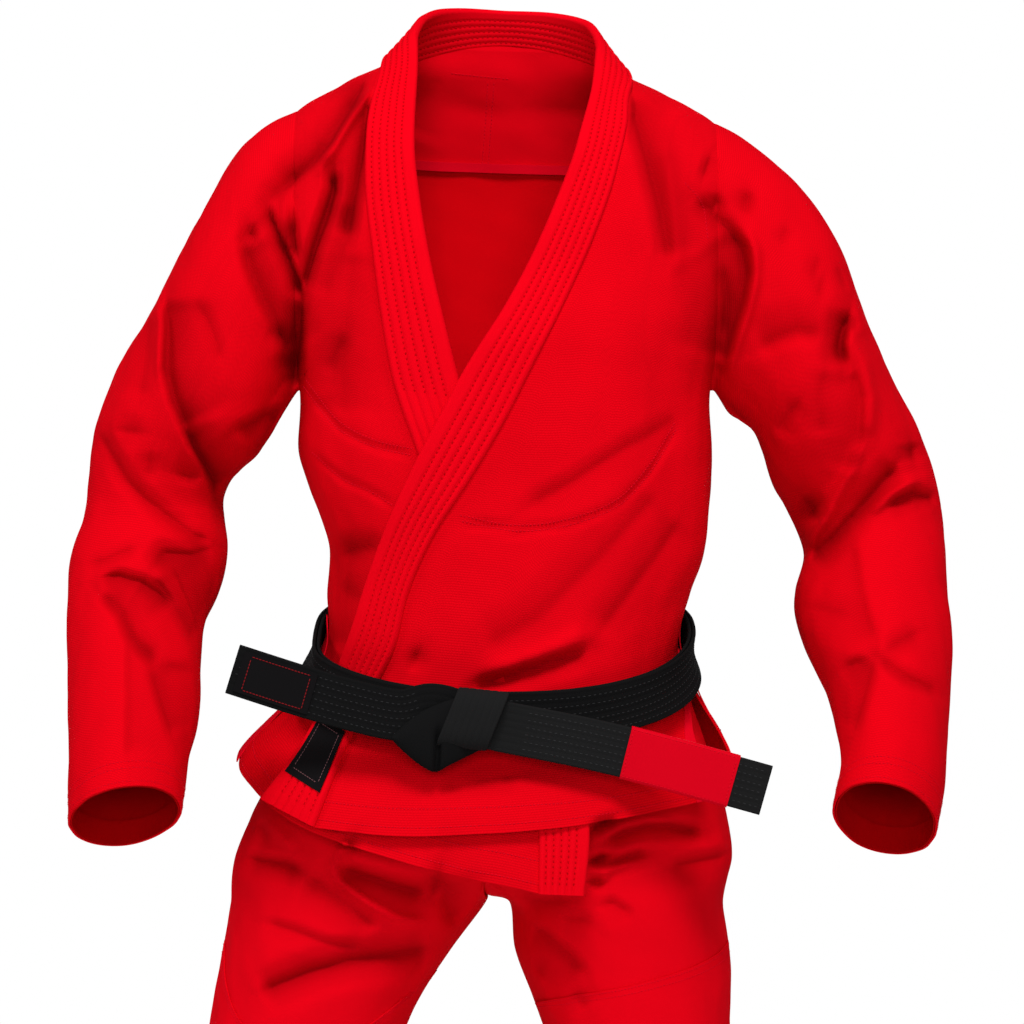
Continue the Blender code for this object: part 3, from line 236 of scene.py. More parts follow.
# Rings of the jacket's body: height, middle x, half width, depth in front, depth behind
TORSO = [
    (-0.740, -0.016, 0.240, 0.156, 0.150),
    (-0.660, -0.014, 0.226, 0.150, 0.146),
    (-0.600, -0.012, 0.211, 0.138, 0.132),
    (-0.550, -0.008, 0.179, 0.124, 0.116),
    (-0.505, -0.0035, 0.1565, 0.115, 0.105),
    (-0.454, 0.0025, 0.1605, 0.117, 0.107),
    (-0.418, 0.010, 0.166, 0.120, 0.110),
    (-0.364, 0.004, 0.178, 0.125, 0.114),
    (-0.330, 0.000, 0.183, 0.128, 0.117),
    (-0.275, -0.001, 0.1825, 0.131, 0.120),
    (-0.200, 0.000, 0.205, 0.132, 0.122),
    (-0.120, 0.000, 0.215, 0.125, 0.120),
    (-0.060, 0.000, 0.205, 0.112, 0.112),
    (-0.0315, 0.000, 0.185, 0.098, 0.104),
    (-0.0105, -0.0015, 0.1485, 0.086, 0.098),
    (-0.0026, -0.0040, 0.1325, 0.080, 0.094),
    (0.0079, -0.0040, 0.1125, 0.073, 0.089),
    (0.0125, -0.0030, 0.1055, 0.071, 0.087),
    (0.040, -0.003, 0.094, 0.064, 0.081),
]

# Collar edges on the chest: height, x of the free edge
LEFT_FREE_EDGE = [
    (-0.636, -0.205), (-0.570, -0.158), (-0.4957, -0.1290), (-0.452, -0.116), (-0.400, -0.100),
    (-0.348, -0.079), (-0.304, -0.057), (-0.268, -0.040), (-0.235, -0.018), (-0.1825, 0.012),
    (-0.104, 0.047), (-0.050, 0.066),
]
# and of the edge sewn to the front panel
LEFT_SEWN_EDGE = [
    (-0.6575, -0.160), (-0.570, -0.124), (-0.517, -0.0965), (-0.452, -0.079), (-0.400, -0.057),
    (-0.365, -0.0355), (-0.322, -0.0095), (-0.261, 0.021), (-0.191, 0.056), (-0.127, 0.083),
    (-0.0545, 0.1040), (-0.0162, 0.1092), (-0.0075, 0.1090), (0.010, 0.1050),
]
RIGHT_FREE_EDGE = [
    (-0.7149, 0.067), (-0.652, 0.0715), (-0.560, 0.052), (-0.450, 0.015), (-0.350, -0.017),
    (-0.268, -0.040), (-0.200, -0.057), (-0.139, -0.070), (-0.084, -0.077), (-0.050, -0.080),
]
RIGHT_SEWN_EDGE = [
    (-0.7130, 0.028), (-0.652, 0.027), (-0.560, 0.006), (-0.450, -0.032), (-0.330, -0.0765),
    (-0.287, -0.092), (-0.226, -0.105), (-0.165, -0.1138), (-0.101, -0.1213), (-0.0455, -0.1206),
    (-0.0046, -0.1144), (0.016, -0.1085),
]
# Collar's upper edge round the neck, from the wearer's right to the left
NECK_TOP = [
    (-0.0785, -0.052, 0.000), (-0.0765, -0.010, 0.046), (-0.0620, 0.034, 0.0690), (-0.0340, 0.061, 0.0755),
    (0.0000, 0.068, 0.0745),
    (0.0360, 0.061, 0.0720), (0.0670, 0.034, 0.0610), (0.0785, -0.010, 0.0360), (0.0770, -0.052, -0.006),
]
# Collar's sewn edge over the shoulder, from the front to the back: x away from the middle, y
SHOULDER_SEAM = [(0.1110, -0.052), (0.1070, -0.026), (0.1030, 0.000)]
# Where the edges leave the chest: free edge, sewn edge and the turn on the shoulder
COLLAR_TURNS = (-0.062, -0.050, -0.020)

# Lower edges: share of the way from the lapel to the side, height
LEFT_HEM = [(0.00, -0.6575), (0.25, -0.6630), (0.50, -0.6570), (0.75, -0.6450), (1.00, -0.6350)]
RIGHT_HEM = [(0.00, -0.7130), (0.30, -0.6800), (0.55, -0.6560), (0.80, -0.6250), (1.00, -0.6000)]
BACK_HEM = [(0.00, -0.6060), (0.25, -0.6400), (0.50, -0.6500), (0.75, -0.6400), (1.00, -0.6060)]
# Side edges: height, angle round the body from the front
LEFT_VENT = [
    (-0.740, 56.0), (-0.637, 56.0), (-0.600, 58.0), (-0.562, 65.0), (-0.527, 80.0), (-0.483, 90.0),
]
RIGHT_VENT = [(-0.740, 94.0), (-0.600, 92.5), (-0.500, 90.0), (-0.400, 90.0)]
# and from the back
BACK_VENT = [(-0.740, 85.0), (-0.600, 87.0), (-0.500, 90.0), (-0.400, 90.0)]
# How far the belt stands off for the overlap beneath it: angle, share of the overlap's thickness
BELT_STAND_OFF = [
    (-180.0, 0.0), (-110.0, 0.0), (-80.0, 0.30), (-60.0, 1.0), (-28.0, 1.0), (0.0, 0.86), (40.0, 0.80),
    (75.0, 0.35), (110.0, 0.0), (180.0, 0.0),
]

# Upper sleeves fan out about a line at the armhole's plane: turn, nearest and farthest reach from it
RIGHT_SLEEVE = [
    (0.0, 0.110, 0.3611), (8.0, 0.091, 0.335), (16.0, 0.078, 0.290), (32.0, 0.066, 0.233),
    (54.0, 0.0655, 0.2065), (68.0, 0.069, 0.200), (80.0, 0.071, 0.1925), (90.0, 0.070, 0.193),
]
LEFT_SLEEVE = [
    (0.0, 0.110, 0.3500), (8.0, 0.092, 0.326), (16.0, 0.087, 0.297), (25.0, 0.083, 0.265),
    (38.0, 0.0715, 0.224), (52.0, 0.063, 0.2025), (70.0, 0.061, 0.201), (82.0, 0.066, 0.2055),
    (90.0, 0.070, 0.208),
]
# Forearm rings: x, y, z, half width, half depth, pitch of the ring, roll of the ring
RIGHT_FOREARM = [
    (-0.3188, 0.030, -0.3850, 0.0615, 0.0700, 0.0, 0.0),
    (-0.3214, 0.015, -0.4186, 0.0700, 0.0700, 9.0, 0.0),
    (-0.3260, -0.005, -0.4544, 0.0674, 0.0690, 17.0, 1.0),
    (-0.3310, -0.027, -0.4892, 0.0615, 0.0660, 23.0, 2.0),
    (-0.3280, -0.070, -0.5589, 0.0580, 0.0630, 28.0, 4.0),
    (-0.3295, -0.098, -0.6050, 0.0522, 0.0600, 30.0, 7.0),
    (-0.3309, -0.120, -0.6485, 0.0498, 0.0585, 30.0, 9.5),
]
LEFT_FOREARM = [
    (0.3263, 0.030, -0.3850, 0.0690, 0.0700, 0.0, 0.0),
    (0.3330, 0.015, -0.4186, 0.0640, 0.0700, 9.0, 0.0),
    (0.3275, -0.005, -0.4544, 0.0685, 0.0690, 17.0, 1.0),
    (0.3290, -0.027, -0.4892, 0.0685, 0.0660, 23.0, 3.0),
    (0.3380, -0.065, -0.5500, 0.0540, 0.0640, 29.0, 6.0),
    (0.3385, -0.098, -0.6050, 0.0465, 0.0620, 33.0, 10.0),
    (0.3300, -0.120, -0.6507, 0.0475, 0.0610, 34.0, 13.0),
]

# Belt ends: middle line beyond the knot, out to the tip
LEFT_TAIL = [
    (0.056, -0.1620, -0.5800), (0.104, -0.1590, -0.5910), (0.160, -0.1560, -0.6060),
    (0.224, -0.1520, -0.6240),
]
RIGHT_TAIL = [
    (-0.091, -0.1640, -0.5585), (-0.130, -0.1580, -0.5510), (-0.176, -0.1480, -0.5385),
    (-0.236, -0.1360, -0.5200),
]

# The strand beside the knot's loop, in pixels along its upper and its lower edge
KNOT_FOLD_TOP = [(392, 736), (405, 724), (421, 712), (438, 704), (456, 698), (476, 694)]
KNOT_FOLD_BOTTOM = [(392, 740), (405, 753), (420, 765), (435, 772), (450, 765), (478, 751)]

# Trouser rings above the legs: height, middle x, half width, depth in front, depth behind
HIPS = [
    (-0.622, -0.011, 0.2000, 0.121, 0.119),
    (-0.658, -0.015, 0.2140, 0.123, 0.124),
    (-0.694, -0.019, 0.2240, 0.124, 0.126),
]
UPPER_LEG_HEIGHTS = (-0.735, -0.777, -0.819, THIGH_SPLIT_Z)
# Leg rings: height, middle x, middle y, half width, half depth
LEFT_LEG = [
    (-1.380, 0.1660, 0.012, 0.0740, 0.0840), (-1.280, 0.1600, 0.012, 0.0760, 0.0860),
    (-1.160, 0.1500, 0.004, 0.0780, 0.0890), (-1.020, 0.1380, -0.002, 0.0810, 0.0930),
    (-0.930, 0.1290, 0.000, 0.0830, 0.0990), (-0.844, 0.1175, 0.003, 0.0830, 0.1060),
    (-0.790, 0.1060, 0.004, 0.0950, 0.1110), (-0.735, 0.0990, 0.005, 0.0960, 0.1160),
]
RIGHT_LEG = [
    (-1.380, -0.2700, 0.012, 0.0740, 0.0840), (-1.280, -0.2600, 0.012, 0.0760, 0.0860),
    (-1.160, -0.2440, 0.004, 0.0780, 0.0890), (-1.020, -0.2200, -0.002, 0.0820, 0.0930),
    (-0.930, -0.2010, 0.000, 0.0840, 0.0990), (-0.844, -0.1780, 0.003, 0.0880, 0.1060),
    (-0.790, -0.1570, 0.004, 0.0990, 0.1110), (-0.735, -0.1325, 0.005, 0.1145, 0.1160),
]

# Upper edge of the knee patches: share of the way from the outer to the inner side, height
LEFT_PATCH_TOP = [(0.0, -0.768), (0.5, -0.798), (1.0, -0.824)]
RIGHT_PATCH_TOP = [
    (0.0, -0.768), (0.15, -0.815), (0.30, -0.842), (0.48, -0.858), (0.66, -0.845), (0.85, -0.815),
    (1.0, -0.795),
]

# Folds seen from the front: rise in millimetres, half width in pixels, how much wider one side of it is
# than the other, and the pixels it runs through. A line drawn downwards has its wider side on the left if
# that share is above 0, and a line drawn to the right has it below.
# A fold that sinks also paints shade into the cloth's colour, darkest along its crease, and some stand
# where a shadow falls.
FRONT_FOLDS = [
    # Right shoulder, armhole and chest
    (8, 6, 0.0, [(376, 86), (353, 114), (332, 150), (318, 168)]),
    (-11, 9, 0.6, [(364, 76), (348, 108), (330, 142), (310, 164), (280, 190)]),
    (-12, 9, 0.4, [(373, 92), (365, 130), (359, 170), (352, 212), (346, 240)]),
    (-12, 5, 0.0, [(333, 166), (332, 190), (324, 216), (314, 248), (305, 280), (303, 292)]),
    (-4, 12, 0.5, [(350, 200), (344, 236), (334, 262), (322, 300)]),
    (-12, 5, 0.3, [(291, 216), (292, 236), (298, 262)]),
    (-11, 4, 0.5, [(266, 204), (274, 224), (285, 250), (296, 278), (301, 298)]),
    (-12, 7, 0.3, [(301, 296), (298, 330), (296, 356), (292, 392)]),
    (5, 5, 0.0, [(284, 192), (286, 222), (296, 262)]),
    (-6, 9, 0.0, [(266, 206), (276, 196), (292, 183)]),
    (-5, 8, 0.3, [(350, 332), (338, 352), (328, 378)]),
    (-4, 24, 0.0, [(352, 250), (345, 330), (340, 420)]),
    (-5, 22, 0.0, [(352, 530), (345, 590), (340, 655)]),
    # Right upper sleeve
    (-9, 15, -0.75, [(242, 240), (249, 268), (263, 302), (278, 330), (292, 356)]),
    (-7, 8, 0.0, [(246, 226), (256, 240)]),
    (-5, 6, 0.0, [(264, 328), (286, 340)]),
    (-6, 10, 0.0, [(280, 350), (292, 372)]),
    (-10, 16, -0.8, [(167, 296), (168, 330), (166, 368), (174, 402), (188, 434)]),
    (4, 6, 0.0, [(163, 300), (160, 350), (160, 380)]),
    (-4, 10, 0.3, [(152, 312), (146, 352), (137, 402)]),
    (-3, 5, 0.0, [(196, 302), (207, 322), (216, 345), (222, 366)]),
    (-8, 16, 0.8, [(232, 432), (262, 416), (288, 408)]),
    # Right elbow and forearm
    (-6, 6, 0.0, [(98, 430), (110, 454), (127, 480), (146, 500), (170, 520), (192, 536), (212, 543)]),
    (-12, 8, -0.7, [(183, 424), (192, 446), (205, 466), (214, 482), (218, 498)]),
    (-5, 8, -0.4, [(172, 474), (206, 478)]),
    (-3, 8, 0.0, [(152, 448), (148, 486)]),
    (-4, 9, 0.0, [(112, 430), (148, 434)]),
    (-4, 5, 0.0, [(82, 566), (104, 561), (124, 553), (140, 546)]),
    (-9, 10, 0.5, [(98, 580), (118, 576), (140, 582), (158, 596), (172, 612)]),
    (-9, 26, 0.7, [(152, 570), (164, 554), (190, 556), (214, 548)]),
    (-6, 14, -0.7, [(154, 574), (166, 594), (182, 620), (197, 644)]),
    (4, 7, 0.0, [(152, 566), (168, 592), (184, 622)]),
    (-8, 7, -0.5, [(98, 594), (110, 604), (121, 616), (129, 636), (142, 652), (156, 666)]),
    (-6, 16, -0.8, [(150, 666), (157, 688), (165, 712), (174, 740)]),
    (-3, 14, -0.85, [(129, 640), (129, 700), (128, 760)]),
    (-3, 5, 0.0, [(156, 666), (182, 670), (198, 676)]),
    # Left shoulder and armhole
    (-9, 13, -0.5, [(630, 94), (638, 124), (650, 166), (662, 214), (670, 262)]),
    (3, 9, 0.0, [(664, 140), (674, 200), (678, 280)]),
    (-5, 6, -0.4, [(712, 154), (703, 181)]),
    (-6, 7, 0.0, [(694, 198), (716, 216), (738, 236)]),
    (-11, 16, 0.75, [(727, 226), (742, 246), (747, 272), (741, 304), (730, 338), (723, 366)]),
    (6, 7, 0.0, [(744, 226), (755, 252), (754, 282), (745, 316), (733, 350), (726, 376)]),
    (-6, 7, 0.0, [(719, 192), (713, 214)]),
    (-6, 7, 0.2, [(750, 188), (743, 218)]),
    (-5, 5, 0.0, [(722, 262), (728, 300), (725, 340)]),
    (-3, 6, 0.0, [(788, 224), (783, 248)]),
    (-3, 7, 0.0, [(822, 254), (812, 284)]),
    (-3, 5, 0.0, [(826, 272), (820, 302)]),
    (-4, 6, 0.0, [(836, 262), (848, 294)]),
    (-6, 6, 0.0, [(722, 398), (738, 412), (752, 430)]),
    # Left upper sleeve
    (-6, 11, -0.5, [(756, 352), (776, 340), (798, 332), (828, 336)]),
    (-13, 7, 0.6, [(851, 308), (845, 328), (842, 346), (846, 368)]),
    (-6, 4, 0.0, [(855, 316), (853, 332)]),
    (5, 8, 0.0, [(858, 314), (853, 340), (864, 364), (870, 398), (866, 440)]),
    (-5, 13, 0.6, [(852, 366), (860, 396), (860, 440), (850, 478)]),
    (-4, 12, 0.0, [(826, 366), (820, 404), (822, 440)]),
    (-5, 10, 0.0, [(802, 398), (786, 420), (776, 440)]),
    # Left elbow and forearm
    (7, 7, 0.0, [(862, 440), (852, 470), (840, 490), (828, 510), (815, 535), (805, 555)]),
    (-11, 12, 0.5, [(800, 492), (814, 506), (818, 526)]),
    (-11, 9, 0.0, [(900, 462), (880, 486), (858, 514), (836, 538), (808, 564)]),
    (6, 6, 0.0, [(868, 516), (885, 500), (905, 486), (925, 478)]),
    (-9, 7, 0.4, [(884, 510), (898, 500), (915, 493), (930, 497), (938, 508)]),
    (-9, 8, 0.0, [(912, 440), (917, 464)]),
    (-4, 14, 0.75, [(852, 542), (857, 580), (865, 615), (875, 644)]),
    (-5, 8, 0.0, [(884, 652), (904, 642), (926, 630)]),
    (-6, 5, -0.3, [(876, 656), (892, 669), (908, 680), (930, 690), (944, 696)]),
    (-6, 18, 0.8, [(875, 656), (869, 680), (862, 706), (852, 736)]),
    (-4, 10, 0.6, [(838, 674), (856, 664), (873, 657)]),
    (-3, 10, 0.0, [(804, 606), (830, 612), (852, 618)]),
    # Front
    (-4, 9, 0.3, [(525, 508), (573, 482), (624, 449), (680, 417)]),
    (-4, 14, 0.0, [(657, 495), (599, 559), (535, 622), (484, 648)]),
    (-5, 12, 0.0, [(682, 520), (637, 584), (599, 635)]),
    (-9, 7, 0.3, [(470, 688), (500, 680), (535, 668), (588, 650)]),
    (5, 8, 0.0, [(490, 670), (535, 656), (590, 634)]),
    (-5, 8, 0.0, [(420, 648), (410, 672)]),
    (-6, 9, 0.0, [(384, 545), (356, 548), (336, 555)]),
    (-4, 11, 0.0, [(336, 585), (365, 602)]),
    # Sinks a little, with painted shadow under the knot
    (-4, 10, 0.0, [(440, 792), (482, 781), (520, 776)]),
    # Right thigh
    (-8, 7, 0.3, [(242, 858), (262, 862), (284, 865), (304, 874)]),
    (-7, 13, 0.3, [(304, 876), (330, 895), (356, 914), (378, 930)]),
    (6, 4, 0.0, [
        (354, 838), (341, 850), (334, 866), (338, 880), (352, 892), (374, 906), (394, 917), (424, 920),
    ]),
    (-11, 9, 0.2, [(338, 868), (352, 875), (376, 881), (402, 889), (428, 896)]),
    (-8, 6, 0.4, [(439, 868), (436, 884), (430, 900)]),
    (-7, 18, -0.7, [(442, 872), (446, 900), (454, 930)]),
    # Painted shadow, with a little sink, under the jacket's hem
    (-6, 5, 0.0, [(357, 832), (347, 850)]),
    (4, 7, 0.0, [(262, 815), (285, 838), (295, 852)]),
    (-4, 8, 0.0, [(256, 818), (268, 842)]),
    (-4, 6, 0.3, [(264, 922), (292, 931), (322, 942), (362, 950)]),
    (-11, 12, 0.0, [(258, 996), (282, 984), (312, 972), (346, 963), (386, 957), (432, 950)]),
    # Left thigh
    (-8, 4, 0.0, [(589, 834), (602, 824), (618, 817)]),
    (-9, 6, 0.0, [(604, 844), (624, 834), (646, 828), (668, 827), (690, 831), (707, 834)]),
    (4, 5, 0.0, [(600, 838), (622, 826), (648, 820), (680, 820)]),
    (-12, 4, 0.0, [(586, 864), (598, 861), (611, 855)]),
    (-8, 6, 0.2, [(600, 869), (614, 864), (632, 857), (652, 851)]),
    (5, 4, 0.0, [(588, 870), (600, 873), (616, 868), (640, 860)]),
    (-7, 5, 0.0, [(586, 881), (606, 881)]),
    (-7, 8, 0.3, [(668, 868), (692, 863), (716, 858), (732, 853)]),
    # Painted shadow, with a little sink, under the end of the lapel
    (-5, 8, 0.0, [(510, 896), (535, 903), (572, 899)]),
    (-4, 8, 0.4, [(556, 918), (580, 920), (594, 928)]),
    (-4, 7, 0.4, [(596, 908), (612, 904), (626, 912), (634, 922)]),
    (-7, 10, 0.6, [(530, 924), (548, 938), (566, 954), (586, 976)]),
    (-5, 8, 0.0, [(516, 925), (520, 958)]),
    (-5, 7, 0.0, [(524, 962), (548, 976)]),
    (-4, 8, 0.0, [(574, 990), (588, 1012)]),
]
# Folds behind, in the same frame as if seen through the cloth
BACK_FOLDS = [
    (-8, 24, 0.0, [(400, 120), (360, 220), (330, 330)]),
    (-8, 24, 0.0, [(620, 120), (660, 220), (690, 330)]),
    (7, 26, 0.0, [(400, 560), (512, 580), (630, 555)]),
    (-6, 22, 0.0, [(380, 520), (512, 535), (650, 515)]),
    (-7, 18, 0.0, [(130, 470), (180, 500), (225, 510)]),
    (-7, 18, 0.0, [(920, 470), (860, 500), (800, 515)]),
    (-6, 16, 0.0, [(180, 250), (230, 330), (250, 400)]),
    (-6, 16, 0.0, [(850, 250), (800, 330), (770, 400)]),
    (-8, 20, 0.0, [(260, 880), (340, 900), (430, 880)]),
    (-8, 20, 0.0, [(730, 880), (660, 900), (570, 880)]),
]
# Below the picture, where the trousers are guessed
LOWER_FOLDS = [
    (-5, 16, 0.0, [(220, 1120), (290, 1150), (350, 1140)]),
    (-5, 16, 0.0, [(730, 1110), (660, 1150), (590, 1140)]),
    (4, 16, 0.0, [(190, 1200), (260, 1220), (330, 1190)]),
    (4, 16, 0.0, [(750, 1190), (680, 1220), (610, 1200)]),
    (-5, 18, 0.0, [(170, 1290), (230, 1330), (290, 1320)]),
    (-5, 18, 0.0, [(770, 1290), (710, 1330), (650, 1325)]),
    (-4, 15, 0.0, [(150, 1440), (210, 1460), (270, 1440)]),
    (-4, 15, 0.0, [(770, 1440), (720, 1465), (660, 1445)]),
]
# The upper edge of the belt in the picture, under which no fold may rise
BELT_TOP_EDGE = [(300, 590), (353, 646), (419, 678), (507, 694), (606, 679), (654, 658), (700, 610)]
BELT_CLEARANCE = 0.0012
BELT_ROOM_SLOPE = 0.0006
FOLD_SCALE = 1.5
CREASE_ROUND = 1.5
# A crease this many millimetres deep takes its full painted shade
CREASE_DARK = 13.0
SEAM_SINK = 2.2
END_SHARE = 0.25
END_REACH = 16.0
END_LIMIT = 0.4
FOLD_REACH = 5
CREASE_FADE = (1.2, 2.6)
SEAM_HALF_WIDTH = 2.5
SEAM_FADE = 0.05
LAPEL_FADE = 0.07
ARMHOLE_BLEND = 0.012
ARMHOLE_FACING = (0.0, 0.02)
UNDERARM_SPAN = (-0.34, -0.30)
FACING_SPAN = (0.0, 0.4)
BELT_PICTURE_WIDTH = 62
RIPPLE_SIZES = ((0.060, 0.0007), (0.022, 0.0002))
RIPPLE_DIRECTIONS = 9
RIPPLE_SEED = 11

# Seams in pixels
CHEST_SEAM = [(461, 521), (520, 531), (576, 523), (622, 503), (650, 472), (678, 426)]
RIGHT_SEAM = [(303, 386), (340, 430), (375, 447), (412, 455)]
RIGHT_LOWER_SEAM = [(312, 452), (345, 480), (372, 492), (394, 506)]
YOKE_SEAM = [(420, 170), (485, 173), (553, 177)]
YOKE_MIDDLE = [(488, 82), (485, 128), (482, 168)]
NAPE_ROW = [(450, 73), (478, 76), (510, 79)]
ARMHOLE_ROW = [(684, 182), (700, 200), (708, 240)]
# Rows of stitches on them: the piece they lie on, the seam, and how many pixels they are off it
SEAM_ROWS = [
    ("left_front_panel", CHEST_SEAM, (0, 0)),
    ("left_front_panel", CHEST_SEAM, (-2, -6)),
    ("left_front_panel", ARMHOLE_ROW, (0, 0)),
    ("right_front_panel", RIGHT_SEAM, (0, 0)),
    ("right_front_panel", RIGHT_SEAM, (3, -6)),
    ("right_front_panel", RIGHT_LOWER_SEAM, (0, 0)),
    ("yoke_lining_panel", YOKE_SEAM, (0, 0)),
    ("yoke_lining_panel", YOKE_SEAM, (0, -4)),
    ("yoke_lining_panel", YOKE_MIDDLE, (0, 0)),
    ("yoke_lining_panel", YOKE_MIDDLE, (6, 0)),
    ("yoke_lining_panel", NAPE_ROW, (0, 0)),
]
# Stitches: radius, pitch, share of the pitch that each takes
STITCHES = {
    "collar_rows": (0.00080, 0.0047, 0.5),
    "belt_turn_rows": (0.00035, 0.0049, 0.66),
    "belt_end_rows": (0.00035, 0.0049, 0.66),
    "rank_bar_rows": (0.00045, 0.0034, 0.66),
    "lapel_patch_border": (0.00035, 0.0030, 0.92),
    "belt_label_border": (0.00045, 0.0030, 0.92),
    "jacket_seam_rows": (0.00042, 0.0034, 0.66),
    "cuff_rows": (0.00032, 0.0032, 0.66),
    "hem_rows": (0.00030, 0.0030, 0.66),
    "patch_rows": (0.00030, 0.0030, 0.66),
}
STITCH_SIDES = 5
STITCH_STEPS = np.array([0.0, 0.22, 0.78, 1.0])
STITCH_GIRTH = np.array([0.0, 1.0, 1.0, 0.0])
ROW_LIFT = 0.0002
BORDER_LIFT = 0.0003
# Where rows lie, in shares of their piece
COLLAR_ROW_SPAN = (0.004, 0.996)
NECK_ROW_REACH = 0.14
TAIL_ROW_SPAN = (0.27, 0.995)
BAR_ROW_INSET = 0.005
BAR_ROW_MARGIN = 0.0012
BAR_ENDS_AT = (0.03, 0.97)
LAPEL_BORDER = 0.11
LABEL_BORDER = 0.09
JACKET_HEM_ROWS_AT = (0.010, 0.030)
CUFF_ROWS_AT = (0.93, 0.95, 0.985)
LEG_HEM_ROWS_AT = (0.012, 0.055)
PATCH_ROWS_AT = (0.90, 0.98)

# Lights: name, place, size, power
LIGHTS = [
    ("high_softbox", (0.0, -2.2, 2.2), 0.8, 62.0),
    ("high_right_softbox", (0.9, -2.0, 2.2), 0.8, 30.0),
    ("front_softbox", (0.0, -3.8, 0.2), 1.2, 36.0),
    ("left_softbox", (-2.6, -0.8, 0.6), 1.0, 24.0),
    ("right_softbox", (2.6, -0.8, 0.6), 1.0, 9.0),
]
LIGHT_AIM = (0, 0, -0.4)
AMBIENT = 0.17
FLOOR_SIZE = 2.6
FLOOR_COLOUR = (0.86, 0.86, 0.86, 1.0)
FLOOR_ROUGHNESS = 0.9

# Weaves: lengths that repeat, and how a cloth darkens in them and in patches, and the painted shade of a
# deep crease
PEARL_ROW = 0.0023
PEARL_LENGTH = 0.0027
TWILL_PITCH = 0.0011
BELT_PITCH = 0.0012
SATIN_PITCH = 0.0007
WEAVE_SHADE = 0.76
WEAVE_BUMP = 0.35
PATCH_SCALE = 22.0
FUZZ_SCALE = 900.0
THREAD_FUZZ_SCALE = 700.0
UNEVEN_SHADE = 0.10
CLOTH_DARK = 0.10
THREAD_DARK = 0.55
CREASE_SHADE = 0.58
CLOTH_SHINE = 0.01
THREAD_SHINE = 0.02
THREAD_ROUGHNESS = 0.7

# Colours, linear
RED_WEAVE = (0.74, 0.0006, 0.0065)
RED_TWILL = (0.76, 0.0006, 0.0075)
BACK_INSIDE = (0.68, 0.0005, 0.0045)
# A darker copy of the red: painted shade for the sleeves' inner walls and cuff facings
SLEEVE_INSIDE_SHADE = (0.46, 0.0004, 0.0020)
RED_TAPE = (0.78, 0.0015, 0.014)
RED_BAR = (0.62, 0.0008, 0.010)
BLACK_COTTON = (0.0065, 0.0065, 0.0067)
# A lighter copy of the black cotton: painted light on the knot's loop and the left end
PAINTED_LIGHT_COTTON = (0.0118, 0.0118, 0.0120)
DARK_LABEL = (0.006, 0.0055, 0.006)
RED_THREAD = (0.84, 0.004, 0.020)
# A darker red thread: painted shade of the holes the collar's stitches sink into
HOLE_SHADE_THREAD = (0.62, 0.0006, 0.005)
BLACK_THREAD = (0.040, 0.040, 0.042)
LABEL_THREAD = (0.22, 0.10, 0.11)
LABEL_RED_THREAD = (0.26, 0.012, 0.016)


# Curves and shares


def curve(rows, key):
    """The values of a smooth curve through rows of (key, values), one array for each value."""
    table = np.array(rows)
    keys = table[:, 0]
    values = table[:, 1:]
    slopes = np.gradient(values, keys, axis=0)
    key = np.clip(np.asarray(key, float), keys[0], keys[-1])
    low = np.clip(np.searchsorted(keys, key) - 1, 0, len(keys) - 2)
    span = keys[low + 1] - keys[low]
    t = ((key - keys[low]) / span)[..., None]
    span = span[..., None]
    found = (
        values[low] * (1 + 2 * t) * (1 - t) ** 2
        + slopes[low] * span * t * (1 - t) ** 2
        + values[low + 1] * t**2 * (3 - 2 * t)
        + slopes[low + 1] * span * t**2 * (t - 1)
    )
    return [found[..., column] for column in range(found.shape[-1])]


def through(points, t):
    """The place at share t along a smooth curve through evenly spaced points."""
    rows = [(index / (len(points) - 1), *point) for index, point in enumerate(points)]
    return np.stack(curve(rows, t), -1)


def smoothstep(low, high, value):
    share = np.clip((value - low) / (high - low), 0, 1)
    return share * share * (3 - 2 * share)


def signed_power(value, power):
    return np.sign(value) * np.abs(value) ** power


def mix(a, b, share):
    return a + (b - a) * share


def unit(vectors):
    return vectors / np.linalg.norm(vectors, axis=-1)[..., None]


def stadium(share, half_width, half_height):
    """Round a flat strap's section, whose edges are half circles: across and rise."""
    bend = np.radians(np.linspace(90, -90, ROUND_POINTS))
    flat = half_width - half_height
    across = np.concatenate([flat + half_height * np.cos(bend), -flat - half_height * np.cos(bend)])
    rise = np.concatenate([half_height * np.sin(bend), -half_height * np.sin(bend)])
    across = np.append(across, across[0])
    rise = np.append(rise, rise[0])
    reached = np.append(0, np.cumsum(np.hypot(np.diff(across), np.diff(rise))))
    reached /= reached[-1]
    return np.interp(share, reached, across), np.interp(share, reached, rise)


# Folds


def to_pixels(spots):
    """Where points fall in the photograph's frame."""
    away = spots - np.array(CAMERA_PLACE)
    scale = -CAMERA_PLACE[1] / away[..., 1] * FRAME_PIXELS / VIEW_WIDTH
    return FRAME_PIXELS / 2 + away[..., 0] * scale, FRAME_PIXELS / 2 - away[..., 2] * scale


